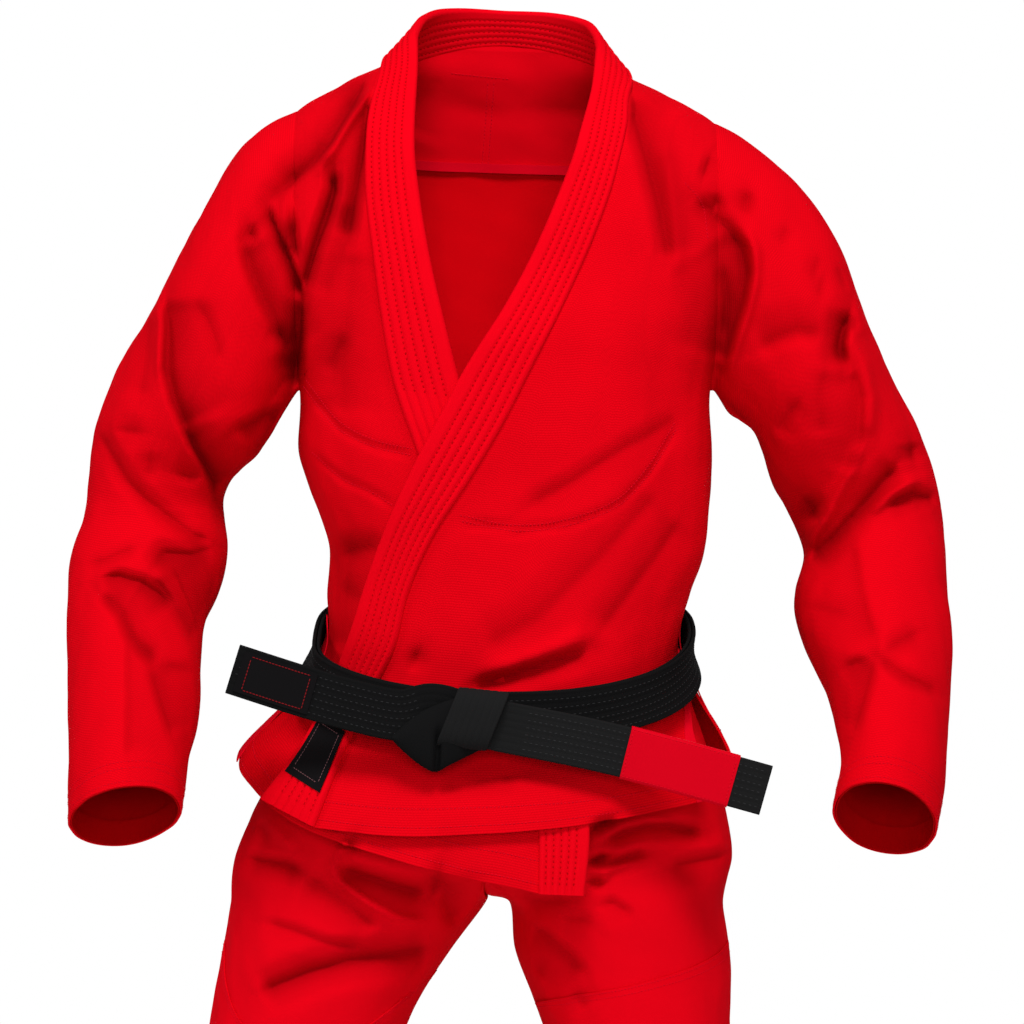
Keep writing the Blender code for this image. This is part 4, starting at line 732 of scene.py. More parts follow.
def fold_shape(folds, x, y):
    """How far the cloth stands out at pixel x and y, and how much painted shade its crease there takes."""
    height = np.zeros_like(x)
    painted_crease_shade = np.zeros_like(x)
    for rise, half_width, wider, points in folds:
        line = np.array(points, float)
        low = line.min(0) - FOLD_REACH * half_width
        high = line.max(0) + FOLD_REACH * half_width
        near = np.flatnonzero((x > low[0]) & (x < high[0]) & (y > low[1]) & (y < high[1]))
        spot = np.column_stack([x[near], y[near]])
        nearest = np.full(len(near), np.inf)
        width = np.full(len(near), float(half_width))
        place = np.zeros(len(near))
        reached = np.append(0, np.cumsum(np.hypot(*np.diff(line, axis=0).T)))
        for index, start in enumerate(line[:-1]):
            along = line[index + 1] - start
            run = np.clip((spot - start) @ along / (along @ along), 0, 1)
            away = spot - start - run[:, None] * along
            distance = np.hypot(away[:, 0], away[:, 1])
            beside = (along[1] * away[:, 0] - along[0] * away[:, 1]) / np.hypot(*along) / 2
            beside = np.clip(beside, -1, 1)
            width = np.where(distance < nearest, half_width * (1 - wider * beside), width)
            here = mix(reached[index], reached[index + 1], run)
            place = np.where(distance < nearest, here, place)
            nearest = np.minimum(nearest, distance)
        end = min(END_REACH, END_LIMIT * reached[-1])
        fade = mix(END_SHARE, 1, smoothstep(0, end, place) * smoothstep(0, end, reached[-1] - place))
        if rise > 0:
            height[near] += rise * fade * np.exp(-((nearest / width) ** 2))
        else:
            crease = (np.hypot(nearest, CREASE_ROUND) - CREASE_ROUND) / width
            share = fade * np.exp(-crease) * (1 - smoothstep(*CREASE_FADE, crease))
            height[near] += rise * share
            painted_crease_shade[near] -= rise / CREASE_DARK * share
    return FOLD_SCALE * height / 1000, np.clip(painted_crease_shade, 0, 1)


def belt_room(x, y):
    """How far the cloth may stand out at a pixel: little under the belt, and freely elsewhere."""
    edge = np.array(BELT_TOP_EDGE, float)
    below = y - np.interp(x, edge[:, 0], edge[:, 1])
    beside = np.maximum(edge[0, 0] - x, x - edge[-1, 0])
    away = np.maximum(np.maximum(-below, below - BELT_PICTURE_WIDTH), beside)
    return BELT_CLEARANCE + BELT_ROOM_SLOPE * np.maximum(away, 0)


def ripple(spots):
    """Small unevenness, the same wherever two pieces meet."""
    draw = np.random.default_rng(RIPPLE_SEED)
    height = np.zeros(len(spots))
    for size, rise in RIPPLE_SIZES:
        directions = draw.normal(size=(RIPPLE_DIRECTIONS, 3))
        phases = draw.uniform(0, 2 * np.pi, RIPPLE_DIRECTIONS)
        waves = np.sin(spots @ directions.T * (np.pi / size) + phases)
        height += rise * waves.sum(1) / math.sqrt(RIPPLE_DIRECTIONS / 2)
    return height


def drape(spots, normals, hold):
    """The cloth's points with its folds, and the painted shade that each takes in a crease.

    The folds stand out to the front or the back, alike on both sides of an armhole, and the ripple every
    way.
    """
    x, y = to_pixels(spots)
    off_the_seam = (np.abs(spots[:, 0]) - ARMHOLE_X) / ARMHOLE_BLEND
    armhole = np.exp(-(off_the_seam**2)) * smoothstep(*UNDERARM_SPAN, spots[:, 2])
    forward, backward = (
        mix(
            smoothstep(*FACING_SPAN, way * normals[:, 1]),
            smoothstep(*ARMHOLE_FACING, way * spots[:, 1]),
            armhole,
        )
        for way in (-1, 1)
    )
    lines = (CHEST_SEAM, RIGHT_SEAM, RIGHT_LOWER_SEAM)
    seams = [(-SEAM_SINK, SEAM_HALF_WIDTH, 0.0, line) for line in lines]
    front, painted_crease_shade = fold_shape(FRONT_FOLDS + LOWER_FOLDS + seams, x, y)
    front = np.minimum(front, belt_room(x, y)) * forward
    back = fold_shape(BACK_FOLDS + LOWER_FOLDS, x, y)[0] * backward
    draped = spots + normals * (ripple(spots) * hold * (1 - armhole))[:, None]
    draped[:, 1] += (back - front) * hold
    return draped, painted_crease_shade * forward * hold


# The jacket's body


def lean(x, height):
    return -SHOULDER_LEAN * x * smoothstep(*LEAN_SPAN, height)


def belt_dip(height, facing):
    """The rings tilt at the belt: facing is 1 in front, 0 at the sides and -1 behind."""
    share = 1 - smoothstep(0, BELT_DIP_REACH, np.abs(height - BELT_HEIGHT))
    level = (BELT_FRONT_DIP + BELT_BACK_RISE) / 2
    bow = (BELT_FRONT_DIP - BELT_BACK_RISE) / 2
    return -share * (level * facing + bow * facing**2)


def torso(angle, height, offset, lift=0.0):
    """A point of the body at an angle round from the front, a ring height and an offset outwards.

    The offset grows the ring, and the lift moves the point square to it.
    """
    middle, half_width, front, back = curve(TORSO, height)
    turn = np.radians(angle)
    side = signed_power(np.sin(turn), 2 / RING_POWER)
    facing = signed_power(np.cos(turn), 2 / RING_POWER)
    x = middle + (half_width + offset) * side
    depth = np.where(facing > 0, front, back) + offset
    square_x = signed_power(side, RING_POWER - 1) / half_width
    square_y = -signed_power(facing, RING_POWER - 1) / depth
    length = np.hypot(square_x, square_y)
    up = (offset + lift) * smoothstep(*RISE_SPAN, height)
    z = height + belt_dip(height, facing) + lean(x, height) + up
    return np.stack([x + lift * square_x / length, lift * square_y / length - depth * facing, z], -1)


def angle_at(x, height, offset):
    """The angle in front where the ring passes x."""
    middle, half_width = curve(TORSO, height)[:2]
    side = np.clip((x - middle) / (half_width + offset), -1, 1)
    return np.degrees(np.arcsin(signed_power(side, RING_POWER / 2)))


def front_place(x, z, lift):
    """The point of the chest at x and z, lifted off it."""
    height = z + 0 * x
    for _ in range(PLACE_TRIES):
        angle = angle_at(x, height, 0.0)
        height = height + (z - torso(angle, height, 0.0)[..., 2])
    return torso(angle, height, 0.0, lift)


def edge_angle(height, offset, vent):
    """The outer edge of a panel: the shoulder and side seams, the armhole's plane or the vent."""
    half_width = curve(TORSO, height)[1]
    reach = np.clip(ARMHOLE_X / (half_width + offset), 0, 1)
    armhole = np.where(height > BELT_HEIGHT, np.degrees(np.arcsin(reach ** (RING_POWER / 2))), 90)
    return np.minimum(armhole, curve(vent, height)[0])


def panel_height(v, hem, top):
    """Ring heights up a panel, closer together over the shoulder."""
    chest = 0.62
    armhole = 0.76
    height = mix(hem, CHEST_Z, np.clip(v / chest, 0, 1))
    upper = np.clip((v - chest) / (armhole - chest), 0, 1)
    over = np.clip((v - armhole) / (1 - armhole), 0, 1)
    height = height + (ARMHOLE_TOP_ROW_Z - CHEST_Z) * upper
    return height + (top - ARMHOLE_TOP_ROW_Z) * np.sin(over * np.pi / 2)


def overlap_lift(x, z):
    """The left front lies on the right lapel, and comes down to the body at its side seam."""
    lift = COLLAR_THICKNESS + LAYER_GAP
    return lift * smoothstep(OVERLAP_TOP, OVERLAP_FULL, z) * (1 - smoothstep(*OVERLAP_SIDE, x))


def front_panel(u, v, offset, side):
    """A front panel from its lapel (u = 0) to its side (u = 1)."""
    left = side > 0
    sewn_edge = LEFT_SEWN_EDGE if left else RIGHT_SEWN_EDGE
    height = panel_height(v, curve(LEFT_HEM if left else RIGHT_HEM, u)[0], NECK_POINT_Z - SHOULDER_DROP)
    outer = side * edge_angle(height, offset, LEFT_VENT if left else RIGHT_VENT)
    lapel_z = height
    for _ in range(EDGE_TRIES):
        lapel_x = curve(sewn_edge, lapel_z)[0] - side * COLLAR_TUCK
        inner = angle_at(lapel_x, height, offset)
        lapel_z = torso(inner, height, offset)[..., 2]
    angle = mix(inner, outer, u)
    laid = torso(angle, height, offset)
    if not left:
        laid[..., 0] -= SKIRT_FLARE * smoothstep(*FLARE_ACROSS, u) * smoothstep(*FLARE_HEIGHTS, height)
        return laid
    return torso(angle, height, offset, overlap_lift(laid[..., 0], laid[..., 2]))


def neckline(x):
    """The height of the back's neckline at x, from the shoulder seams to the nape."""
    return mix(NAPE_Z, NECK_POINT_Z, np.clip(np.abs(x) / NECK_HALF_WIDTH, 0, 1) ** 2)


def back_place(u, height, offset):
    """A point of the back, at a share of the way from the left side to the right."""
    edge = edge_angle(height, offset, BACK_VENT)
    return torso(mix(180 - edge, 180 + edge, u), height, offset)


def back_panel(u, v, offset):
    """The back from the left side (u = 0) to the right."""
    top = NECK_POINT_Z + 0 * u
    for _ in range(EDGE_TRIES):
        top = neckline(back_place(u, top, offset)[..., 0]) + COLLAR_TUCK
    return back_place(u, panel_height(v, curve(BACK_HEM, u)[0], top), offset)


# The collar


def shoulder_place(x, y):
    """The point of the shoulder above x and y."""
    low = ARMHOLE_TOP + 0 * x
    high = NAPE_Z + 0 * x
    for _ in range(HALVINGS):
        height = (low + high) / 2
        middle, half_width, front, back = curve(TORSO, height)
        depth = np.where(y < 0, front, back)
        inside = np.abs((x - middle) / half_width) ** RING_POWER + np.abs(y / depth) ** RING_POWER < 1
        low = np.where(inside, height, low)
        high = np.where(inside, high, height)
    return np.stack([x, y, height + lean(x, height)], -1)


def lapel_edge(edge, low, high, count):
    z = np.linspace(low, high, count)
    return front_place(curve(edge, z)[0], z, 0.0)


def collar_edges():
    """The collar's free edge and sewn edge, from the right lapel's end round the neck to the left one's."""
    x = np.linspace(-NECK_HALF_WIDTH, NECK_HALF_WIDTH, NECK_POINTS)
    height = neckline(x)
    seam = torso(180 - angle_at(x, height, 0.0), height, 0.0)
    over = np.array(SHOULDER_SEAM)
    right_over = shoulder_place(-over[:, 0], over[:, 1])
    left_over = shoulder_place(over[:, 0], over[:, 1])
    neck = through(NECK_TOP, np.linspace(0, 1, NECK_POINTS + 2 * len(over) + 2))
    free_top, sewn_top, shoulder = COLLAR_TURNS
    lapels = []
    for free_edge, sewn_edge, (free_end, sewn_end) in (
        (RIGHT_FREE_EDGE, RIGHT_SEWN_EDGE, COLLAR_END_RIGHT),
        (LEFT_FREE_EDGE, LEFT_SEWN_EDGE, COLLAR_END_LEFT),
    ):
        free = lapel_edge(free_edge, free_end, free_top, LAPEL_POINTS)
        sewn = lapel_edge(sewn_edge, sewn_end, sewn_top, LAPEL_POINTS)
        turn = lapel_edge(sewn_edge, shoulder, shoulder, 1)
        lapels.append((free, np.concatenate([sewn, turn])))
    (right_free, right_sewn), (left_free, left_sewn) = lapels
    free = np.concatenate([right_free, neck, left_free[::-1]])
    sewn = np.concatenate([right_sewn, right_over, seam, left_over[::-1], left_sewn[::-1]])
    steps = np.linalg.norm(np.diff((free + sewn) / 2, axis=0), axis=-1)
    reached = np.concatenate([[0], np.cumsum(steps)]) / steps.sum()
    return np.column_stack([reached, free]), np.column_stack([reached, sewn])


COLLAR_EDGES = collar_edges()


def collar_surface(across, along):
    """The collar's inner face: across runs from the free edge to the sewn edge."""
    free, sewn = COLLAR_EDGES
    ruled = mix(np.stack(curve(free, along), -1), np.stack(curve(sewn, along), -1), across[..., None])
    x = ruled[..., 0]
    z = ruled[..., 2]
    lift = np.where(along > 0.5, overlap_lift(x, z), 0.0)
    laid = front_place(x, np.minimum(z, LAID_COLLAR_TOP), lift)
    standing = smoothstep(LAID_COLLAR_TOP - COLLAR_STAND, LAID_COLLAR_TOP, z)
    return mix(laid, ruled, standing[..., None])


def collar_width(along):
    ends = [collar_surface(np.full_like(along, share), along) for share in (0.0, 1.0)]
    return np.linalg.norm(ends[1] - ends[0], axis=-1)


def collar_place(across, along, rise):
    """A point of the collar at a share across, a share along and a height off its inner face."""
    step = 0.002
    side_step = 0.05
    here = collar_surface(across, along)
    last = collar_surface(across, np.minimum(along + step, 1))
    ahead = last - collar_surface(across, np.maximum(along - step, 0))
    over = collar_surface(across + side_step, along) - collar_surface(across - side_step, along)
    return here + unit(np.cross(ahead, over)) * np.asarray(rise)[..., None]


def collar(u, v):
    """The stitched band: its outer face sinks in at each row of stitching."""
    across, rise = stadium(u, 0.5, 0.5 * COLLAR_THICKNESS / COLLAR_WIDTH)
    rise = rise * COLLAR_WIDTH
    share = 0.5 + across
    groove = sum(np.exp(-(((share - row) / COLLAR_ROW_WIDTH) ** 2)) for row in COLLAR_ROWS_AT)
    flat = np.clip(rise / (COLLAR_THICKNESS / 2), -1, 1)
    puff = COLLAR_ROW_DEPTH * (groove - COLLAR_PUFF) * signed_power(flat, 3) * np.where(flat < 0, 0.5, 1.0)
    return collar_place(share, v, COLLAR_THICKNESS / 2 + rise - puff)


def folds_under_the_flap(u, v):
    """The right lapel gives way to the folds where the left front covers it."""
    z = collar_surface(0.5 + 0 * u, v)[..., 2]
    return smoothstep(*FLAP_TOP, z) * smoothstep(*FLAP_BOTTOM, z) * (v < 0.5)


def lapel_patch(u, v):
    along = mix(*LAPEL_PATCH_SPAN, v)
    edge = LAPEL_PATCH_INSET / collar_width(along)
    rise = COLLAR_THICKNESS + SEAM_GAP + PATCH_THICKNESS
    return collar_place(mix(edge, 1 - edge, u), along, rise + 0 * u)


# Sleeves


def sleeve_ring(turn, fan, side):
    """An upper sleeve's ring.

    Turn 0 is on top and 90 in front, and fan is 0 at the armhole and 90 at the elbow.
    """
    near, far = curve(LEFT_SLEEVE if side > 0 else RIGHT_SLEEVE, fan)
    angle = np.radians(turn)
    middle = mix(0.0, ELBOW_Y, smoothstep(*ELBOW_FAN, fan))
    half_depth = mix(ELBOW_HALF_DEPTH, SLEEVE_HALF_DEPTH, np.sin(np.radians(fan * 2)) ** 2)
    direction = np.stack([side * np.sin(np.radians(fan)), 0 * fan, np.cos(np.radians(fan))], -1)
    pivot = np.array([side * ARMHOLE_X, 0, SLEEVE_PIVOT_Z])
    height = mix(ARMHOLE_BOTTOM, ARMHOLE_TOP, (1 + np.cos(angle)) / 2)
    _, half_width, front, back = curve(TORSO, height)
    share = np.clip(ARMHOLE_X / (half_width + JACKET_CLOTH), 0, 1)
    rim = np.where(np.sin(angle) > 0, front, back) * (1 - share**RING_POWER) ** (1 / RING_POWER)
    rim = np.maximum(rim, UNDERARM_DEPTH * np.abs(np.sin(angle))) * np.sign(np.sin(angle))
    spread = (far - near) / 2
    reach = near + spread * (1 + np.cos(angle))
    depth = mix(rim, half_depth * np.sin(angle), smoothstep(0, SHOULDER_BLEND, fan))
    place = pivot + direction * reach[..., None]
    place[..., 1] = middle - depth
    return place


def forearm_ring(turn, along, inset, side):
    """A forearm's ring.

    Turn 0 is on the outer side and 90 in front, and along runs from the elbow to the cuff.
    """
    rows = LEFT_FOREARM if side > 0 else RIGHT_FOREARM
    x, y, z, half_width, half_depth, pitch, roll = np.moveaxis(through(rows, along), -1, 0)
    angle = np.radians(turn)
    pitch = np.radians(pitch)
    roll = np.radians(roll)
    wide = (half_width - inset) * np.cos(angle)
    deep = (half_depth - inset) * np.sin(angle)
    return np.stack(
        [
            x + side * wide * np.cos(roll),
            y - deep * np.cos(pitch),
            z - wide * np.sin(roll) + deep * np.sin(pitch),
        ],
        -1,
    )


def bent_sleeve(u, v, side):
    """The sleeve from a little above the elbow to the cuff, bent sharply at the elbow."""
    turn = 360 * u - 90
    upper = sleeve_ring(turn, mix(SLEEVE_SPLIT, 90, np.clip(v / SPLIT_SHARE, 0, 1)), side)
    lower = forearm_ring(turn, np.clip((v - SPLIT_SHARE) / (1 - SPLIT_SHARE), 0, 1), 0.0, side)
    return np.where((v < SPLIT_SHARE)[..., None], upper, lower)


def lower_sleeve(u, v, side):
    """The same sleeve with its bend eased."""
    reach = ELBOW_EASE * np.minimum(v / SPLIT_SHARE, 1)
    reach = reach * np.clip(1 - np.abs(v - SPLIT_SHARE) / EASE_REACH, 0, 1)
    steps = np.linspace(-1, 1, EASE_STEPS)
    weights = 1.01 - np.abs(steps)
    eased = sum(weight * bent_sleeve(u, v + step * reach, side) for step, weight in zip(steps, weights))
    return eased / weights.sum()


# The belt


def belt_seat(angle):
    """How far the belt's inner face stands off the body."""
    share = curve(BELT_STAND_OFF, (angle + 180) % 360 - 180)[0]
    overlap = 2 * (COLLAR_THICKNESS + LAYER_GAP) + PATCH_THICKNESS - JACKET_CLOTH
    return JACKET_CLOTH + LAYER_GAP + share * overlap


def belt_section(u):
    """The belt's section: across and rise from its middle, sinking in at each row of stitching."""
    across, rise = stadium(u, BELT_WIDTH / 2, BELT_THICKNESS / 2)
    wave = np.sin(np.pi * (across / BELT_WIDTH + 0.5) * BELT_ROWS) ** BELT_ROW_POWER
    return across, rise - BELT_ROW_DEPTH * wave * np.sign(rise)


def belt_turn(u, v, floor):
    angle = 360 * v - 180
    across, rise = belt_section(u)
    offset = belt_seat(angle) + floor + BELT_THICKNESS / 2 + rise
    return torso(angle, BELT_HEIGHT + across, offset)


def belt_front():
    """The foremost y of the outer turn."""
    angle = np.linspace(-45, 45, 46)
    offset = belt_seat(angle) + 2 * BELT_THICKNESS + SEAM_GAP
    faces = [torso(angle, BELT_HEIGHT + level * BELT_WIDTH + 0 * angle, offset) for level in (-0.5, 0.5)]
    return float(min(face[..., 1].min() for face in faces))


def knot_place():
    return np.array([KNOT_PLACE[0], belt_front() - SEAM_GAP - KNOT_SIZE[1] / 2, KNOT_PLACE[1]])


def tail_path(side):
    """The middle line of a belt end, from the side of the knot."""
    turn = math.radians(KNOT_TURN)
    out = side * np.array([math.cos(turn), 0, -math.sin(turn)])
    gap = LEFT_ROOT_GAP if side > 0 else RIGHT_ROOT_GAP
    root = knot_place() + (KNOT_SIZE[0] / 2 + gap) * out
    return [tuple(root), *(LEFT_TAIL if side > 0 else RIGHT_TAIL)]


def strap_place(path, along, across, rise):
    """A point of a flat strap along a path that faces the front."""
    here = through(path, along)
    step = 0.01
    ahead = through(path, np.minimum(along + step, 1)) - through(path, np.maximum(along - step, 0))
    ahead = unit(ahead)
    up = np.cross(ahead, np.array([0.0, 1.0, 0.0]))
    up = unit(up * np.sign(up[..., 2])[..., None])
    out = np.cross(ahead, up)
    out = out * -np.sign(out[..., 1])[..., None]
    return here + up * np.asarray(across)[..., None] + out * np.asarray(rise)[..., None]


def belt_end(u, v, side):
    across, rise = belt_section(u)
    return strap_place(tail_from_knot(side), v, across, rise)


def tail_from_knot(side):
    """The middle line of a belt end with the stretch of it inside the knot."""
    path = tail_path(side)
    inside = mix(np.array(path[0]), knot_place(), KNOT_INSIDE)
    inside[1] = path[0][1]
    return [tuple(inside), *path]


def rank_bar(u, v):
    grow = LAID_GAP + PATCH_THICKNESS
    across, rise = stadium(u, BELT_WIDTH / 2 + grow, BELT_THICKNESS / 2 + grow)
    return strap_place(tail_path(1), mix(*RANK_BAR, v), across, rise)


def belt_label(u, v):
    rise = BELT_THICKNESS / 2 + SEAM_GAP + PATCH_THICKNESS
    return strap_place(tail_path(-1), mix(*BELT_LABEL, v), (u - 0.5) * BELT_LABEL_WIDTH, rise + 0 * u)


def knot_loop(u, v):
    """The band round the knot's middle, whose two edges lean over to the left below."""
    across, rise = belt_section(u)
    turn = 2 * np.pi * v
    local_y = -(LOOP_HALF_DEPTH + rise) * signed_power(np.cos(turn), LOOP_SQUARE)
    local_z = (LOOP_HALF_HEIGHT + rise) * signed_power(np.sin(turn), LOOP_SQUARE)
    lean_over = math.radians(LOOP_LEAN)
    slope = math.radians(LOOP_SLOPE)
    x = across * math.cos(slope) + local_z * math.sin(lean_over)
    z = local_z * math.cos(lean_over) - across * math.sin(slope)
    return knot_place() + np.stack([x, local_y, z], -1)


def at_pixels(x, y, depth):
    """The point at depth that is seen at pixel x and y."""
    scale = VIEW_WIDTH / FRAME_PIXELS * (depth - CAMERA_PLACE[1]) / -CAMERA_PLACE[1]
    across = CAMERA_PLACE[0] + (x - FRAME_PIXELS / 2) * scale
    return np.stack([across, depth, CAMERA_PLACE[2] + (FRAME_PIXELS / 2 - y) * scale], -1)


def knot_fold(u, v):
    """The strand that folds down beside the loop, from its upper edge (u = 0) to its lower edge."""
    upper = through(KNOT_FOLD_TOP, v)
    lower = through(KNOT_FOLD_BOTTOM, v)
    spot = mix(upper, lower, u[..., None])
    swell = np.sin(np.pi * np.clip(u, 0, 1)) ** 0.5 * np.sin(np.pi * np.clip(0.15 + 0.7 * v, 0, 1))
    crease = np.exp(-(((v - KNOT_CREASE) / KNOT_CREASE_WIDTH) ** 2)) * smoothstep(0.25, 0.60, u)
    depth = KNOT_FOLD_Y - KNOT_FOLD_SWELL * swell + KNOT_CREASE_DEPTH * crease
    depth = depth + KNOT_TUCK * smoothstep(0.85, 1.0, v)
    return at_pixels(spot[..., 0], spot[..., 1], depth)


# Trousers


def waistband(u, v):
    height = BELT_HEIGHT + (v - 0.5) * BELT_WIDTH
    return torso(360 * u - 180, height, -LAYER_GAP + 0 * u)


def leg_ring(turn, height, offset, side):
    """A leg's ring: turn 0 is on the outer side, 90 in front and -90 behind."""
    x, y, half_width, half_depth = curve(LEFT_LEG if side > 0 else RIGHT_LEG, height)
    angle = np.radians(turn)
    return np.stack(
        [
            x + side * (half_width + offset) * np.cos(angle),
            y - (half_depth + offset) * np.sin(angle),
            height + 0 * turn,
        ],
        -1,
    )


def loft(rings, step):
    """A smooth surface through rings of points, at a number of rings from the first."""
    stack = np.stack(rings)
    low = np.clip(step.astype(int), 0, len(rings) - 2)
    index = np.arange(len(step))
    picks = [np.clip(low + shift, 0, len(rings) - 1) for shift in (-1, 0, 1, 2)]
    before, first, second, after = [stack[pick, index] for pick in picks]
    t = (step - low)[:, None]
    bend = (2 * before - 5 * first + 4 * second - after) * t**2
    bend = bend + (3 * first - before - 3 * second + after) * t**3
    return first + 0.5 * ((second - before) * t + bend)


def seat(u, v, side):
    """Half of the seat and the thigh below it, from the front seam (u = 0) round to the back seam."""
    angle = mix(0.0, 180.0, u)
    rings = [torso(side * angle, BELT_HEIGHT - BELT_WIDTH / 2 + 0 * u, -LAYER_GAP)]
    turn = np.radians(angle)
    for height, middle, half_width, front, back in HIPS:
        facing = signed_power(np.cos(turn), 2 / RING_POWER)
        reach = signed_power(np.sin(turn), 2 / RING_POWER)
        depth = np.where(facing > 0, front, back)
        rings.append(np.stack([middle + side * half_width * reach, -depth * facing, height + 0 * u], -1))
    for height in UPPER_LEG_HEIGHTS:
        rings.append(leg_ring(mix(HIP_SEAM_ANGLE, -HIP_SEAM_ANGLE, u), height + 0 * u, 0.0, side))
    return loft(rings, v * (len(rings) - 1))


def gusset(u, v, side):
    """Half of the crotch, from the middle seam (v = 0) down the inner thigh, front (u = 0) to back."""
    sag = CROTCH_SAG * np.sin(np.pi * np.clip(u, 0, 1)) ** SAG_POWER
    rings = []
    for height, middle, half_width, front, back in HIPS:
        rings.append(np.stack([middle + 0 * u, mix(-front, back, u), height - sag], -1))
    for height in UPPER_LEG_HEIGHTS:
        rings.append(leg_ring(mix(HIP_SEAM_ANGLE, 360 - HIP_SEAM_ANGLE, u), height + 0 * u, 0.0, side))
    return loft(rings, mix(len(HIPS) - 1, len(rings) - 1, v))


def lower_leg(u, v, side):
    return leg_ring(360 * u - 180, mix(HEM_Z, THIGH_SPLIT_Z, v), 0.0, side)


def hem_tape(u, v, side):
    return leg_ring(360 * u - 180, HEM_Z + v * HEM_TAPE_WIDTH, -TROUSER_CLOTH - LAID_GAP, side)


def knee_patch(u, v, side, low, high):
    """The reinforcement over the knee between two heights, whose top edge climbs towards the outer side."""
    turn = mix(90 - PATCH_ANGLE, 90 + PATCH_ANGLE, u)
    top = np.minimum(curve(LEFT_PATCH_TOP if side > 0 else RIGHT_PATCH_TOP, u)[0], high)
    return leg_ring(turn, mix(low, top, v), LAID_GAP + TAPE_THICKNESS, side)


# Building


def read(data, field, width):
    values = np.empty(len(data) * width)
    data.foreach_get(field, values)
    return values.reshape(-1, width)


def metres_along(grid):
    """Cloth coordinates of a grid of points: lengths along its rows from the middle, and up its columns."""
    across = np.linalg.norm(np.diff(grid, axis=1), axis=-1)
    across = np.pad(np.cumsum(across, 1), ((0, 0), (1, 0)))
    across -= across[:, across.shape[1] // 2][:, None]
    up = np.linalg.norm(np.diff(grid, axis=0), axis=-1)
    up = np.pad(np.cumsum(up, 0), ((1, 0), (0, 0)))
    return np.stack([across, up], -1)


def grid_normals(grid, outward):
    """The outward directions of a grid of points, and whether its faces have to be turned over for them."""
    ahead = np.gradient(grid, axis=1)
    up = np.gradient(grid, axis=0)
    if np.allclose(grid[:, 0], grid[:, -1], atol=1e-6):
        ahead[:, 0] = ahead[:, -1] = (grid[:, 1] - grid[:, -2]) / 2
    normals = unit(np.cross(ahead, up) + 1e-12)
    away = grid - grid.mean((0, 1)) if outward is None else outward
    turned = (normals * away).sum() < 0
    return (-normals if turned else normals), turned


# The points and directions of each piece's own grid, by its name
GRIDS = {}


def lay_cloth(name, columns, rows, place, thickness=0.0, outward=None, hold=None, facing=None):
    """A piece of cloth: a flat grid moved to its place, with its own length and width in metres as its map.

    Hold says how much of the folds and their painted shade each share of the grid takes: none of them
    without it. Facing is the one way that all of a piece faces, if its two sides have to take the same
    folds.
    """
    maker = bmesh.new()
    maker.loops.layers.uv.new("metres")
    bmesh.ops.create_grid(maker, x_segments=columns, y_segments=rows, size=0.5, calc_uvs=True)
    mesh = bpy.data.meshes.new(name)
    maker.to_mesh(mesh)
    shares = read(mesh.vertices, "co", 3)[:, :2] + 0.5
    column, row = np.rint(shares * [columns, rows]).astype(int).T
    grid = np.empty((rows + 1, columns + 1, 3))
    grid[row, column] = place(shares[:, 0], shares[:, 1])
    normals, turned = grid_normals(grid, outward)
    if hold is not None:
        taken = hold(shares[:, 0], shares[:, 1])
        faces = normals if facing is None else np.broadcast_to(facing, normals.shape)
        grid[row, column], painted_crease_shade = drape(grid[row, column], faces[row, column], taken)
        # Painted shade in the creases, for the material to darken the colour by
        mesh.attributes.new("painted_crease_shade", "FLOAT", "POINT").data.foreach_set("value", painted_crease_shade)
    GRIDS[name] = grid, normals
    mesh.vertices.foreach_set("co", grid[row, column].ravel())
    flat_map = mesh.uv_layers[0].data
    corner, corner_row = np.rint(read(flat_map, "uv", 2) * [columns, rows]).astype(int).T
    flat_map.foreach_set("uv", metres_along(grid)[corner_row, corner].ravel())
    maker.clear()
    maker.from_mesh(mesh)
    bmesh.ops.remove_doubles(maker, verts=maker.verts[:], dist=WELD)
    if turned:
        bmesh.ops.reverse_faces(maker, faces=maker.faces[:])
    for edge in maker.edges:
        edge.smooth = not edge.is_boundary
    for face in maker.faces:
        face.smooth = True
    maker.to_mesh(mesh)
    maker.free()
    piece = bpy.data.objects.new(name, mesh)
    bpy.context.collection.objects.link(piece)
    if thickness:
        wall = piece.modifiers.new("wall", "SOLIDIFY")
        wall.thickness = thickness
        wall.offset = -1
    return piece


def folds_off_the_seams(u, v):
    return smoothstep(0.0, SEAM_FADE, u) * (1 - smoothstep(1 - SEAM_FADE, 1.0, u))


def all_folds(u, v):
    return np.ones_like(u)


def folds_off_the_lapel(u, v):
    return smoothstep(0.0, LAPEL_FADE, u)


def close_ends(piece):
    """Caps the open ends of a strap."""
    maker = bmesh.new()
    maker.from_mesh(piece.data)
    ends = [edge for edge in maker.edges if edge.is_boundary]
    bmesh.ops.holes_fill(maker, edges=ends, sides=0)
    maker.to_mesh(piece.data)
    maker.free()
    return piece


def finish_piece(piece, material, slot, nodes, body, until=None, start=None, end=None, inside=None):
    """Gives a piece its material, and its inside one if any, and the body it rides on, and hides the nodes
    it stands for. A piece given two bodies to bend between is only left where it is.
    """
    piece.data.materials.append(material)
    if inside:
        piece.data.materials.append(inside)
        piece.modifiers["wall"].material_offset = 1
    if until:
        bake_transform(piece)
        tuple(start)
        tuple(end)
    else:
        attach(piece, body)
    if nodes:
        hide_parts(*nodes)
    return piece


# Stitches


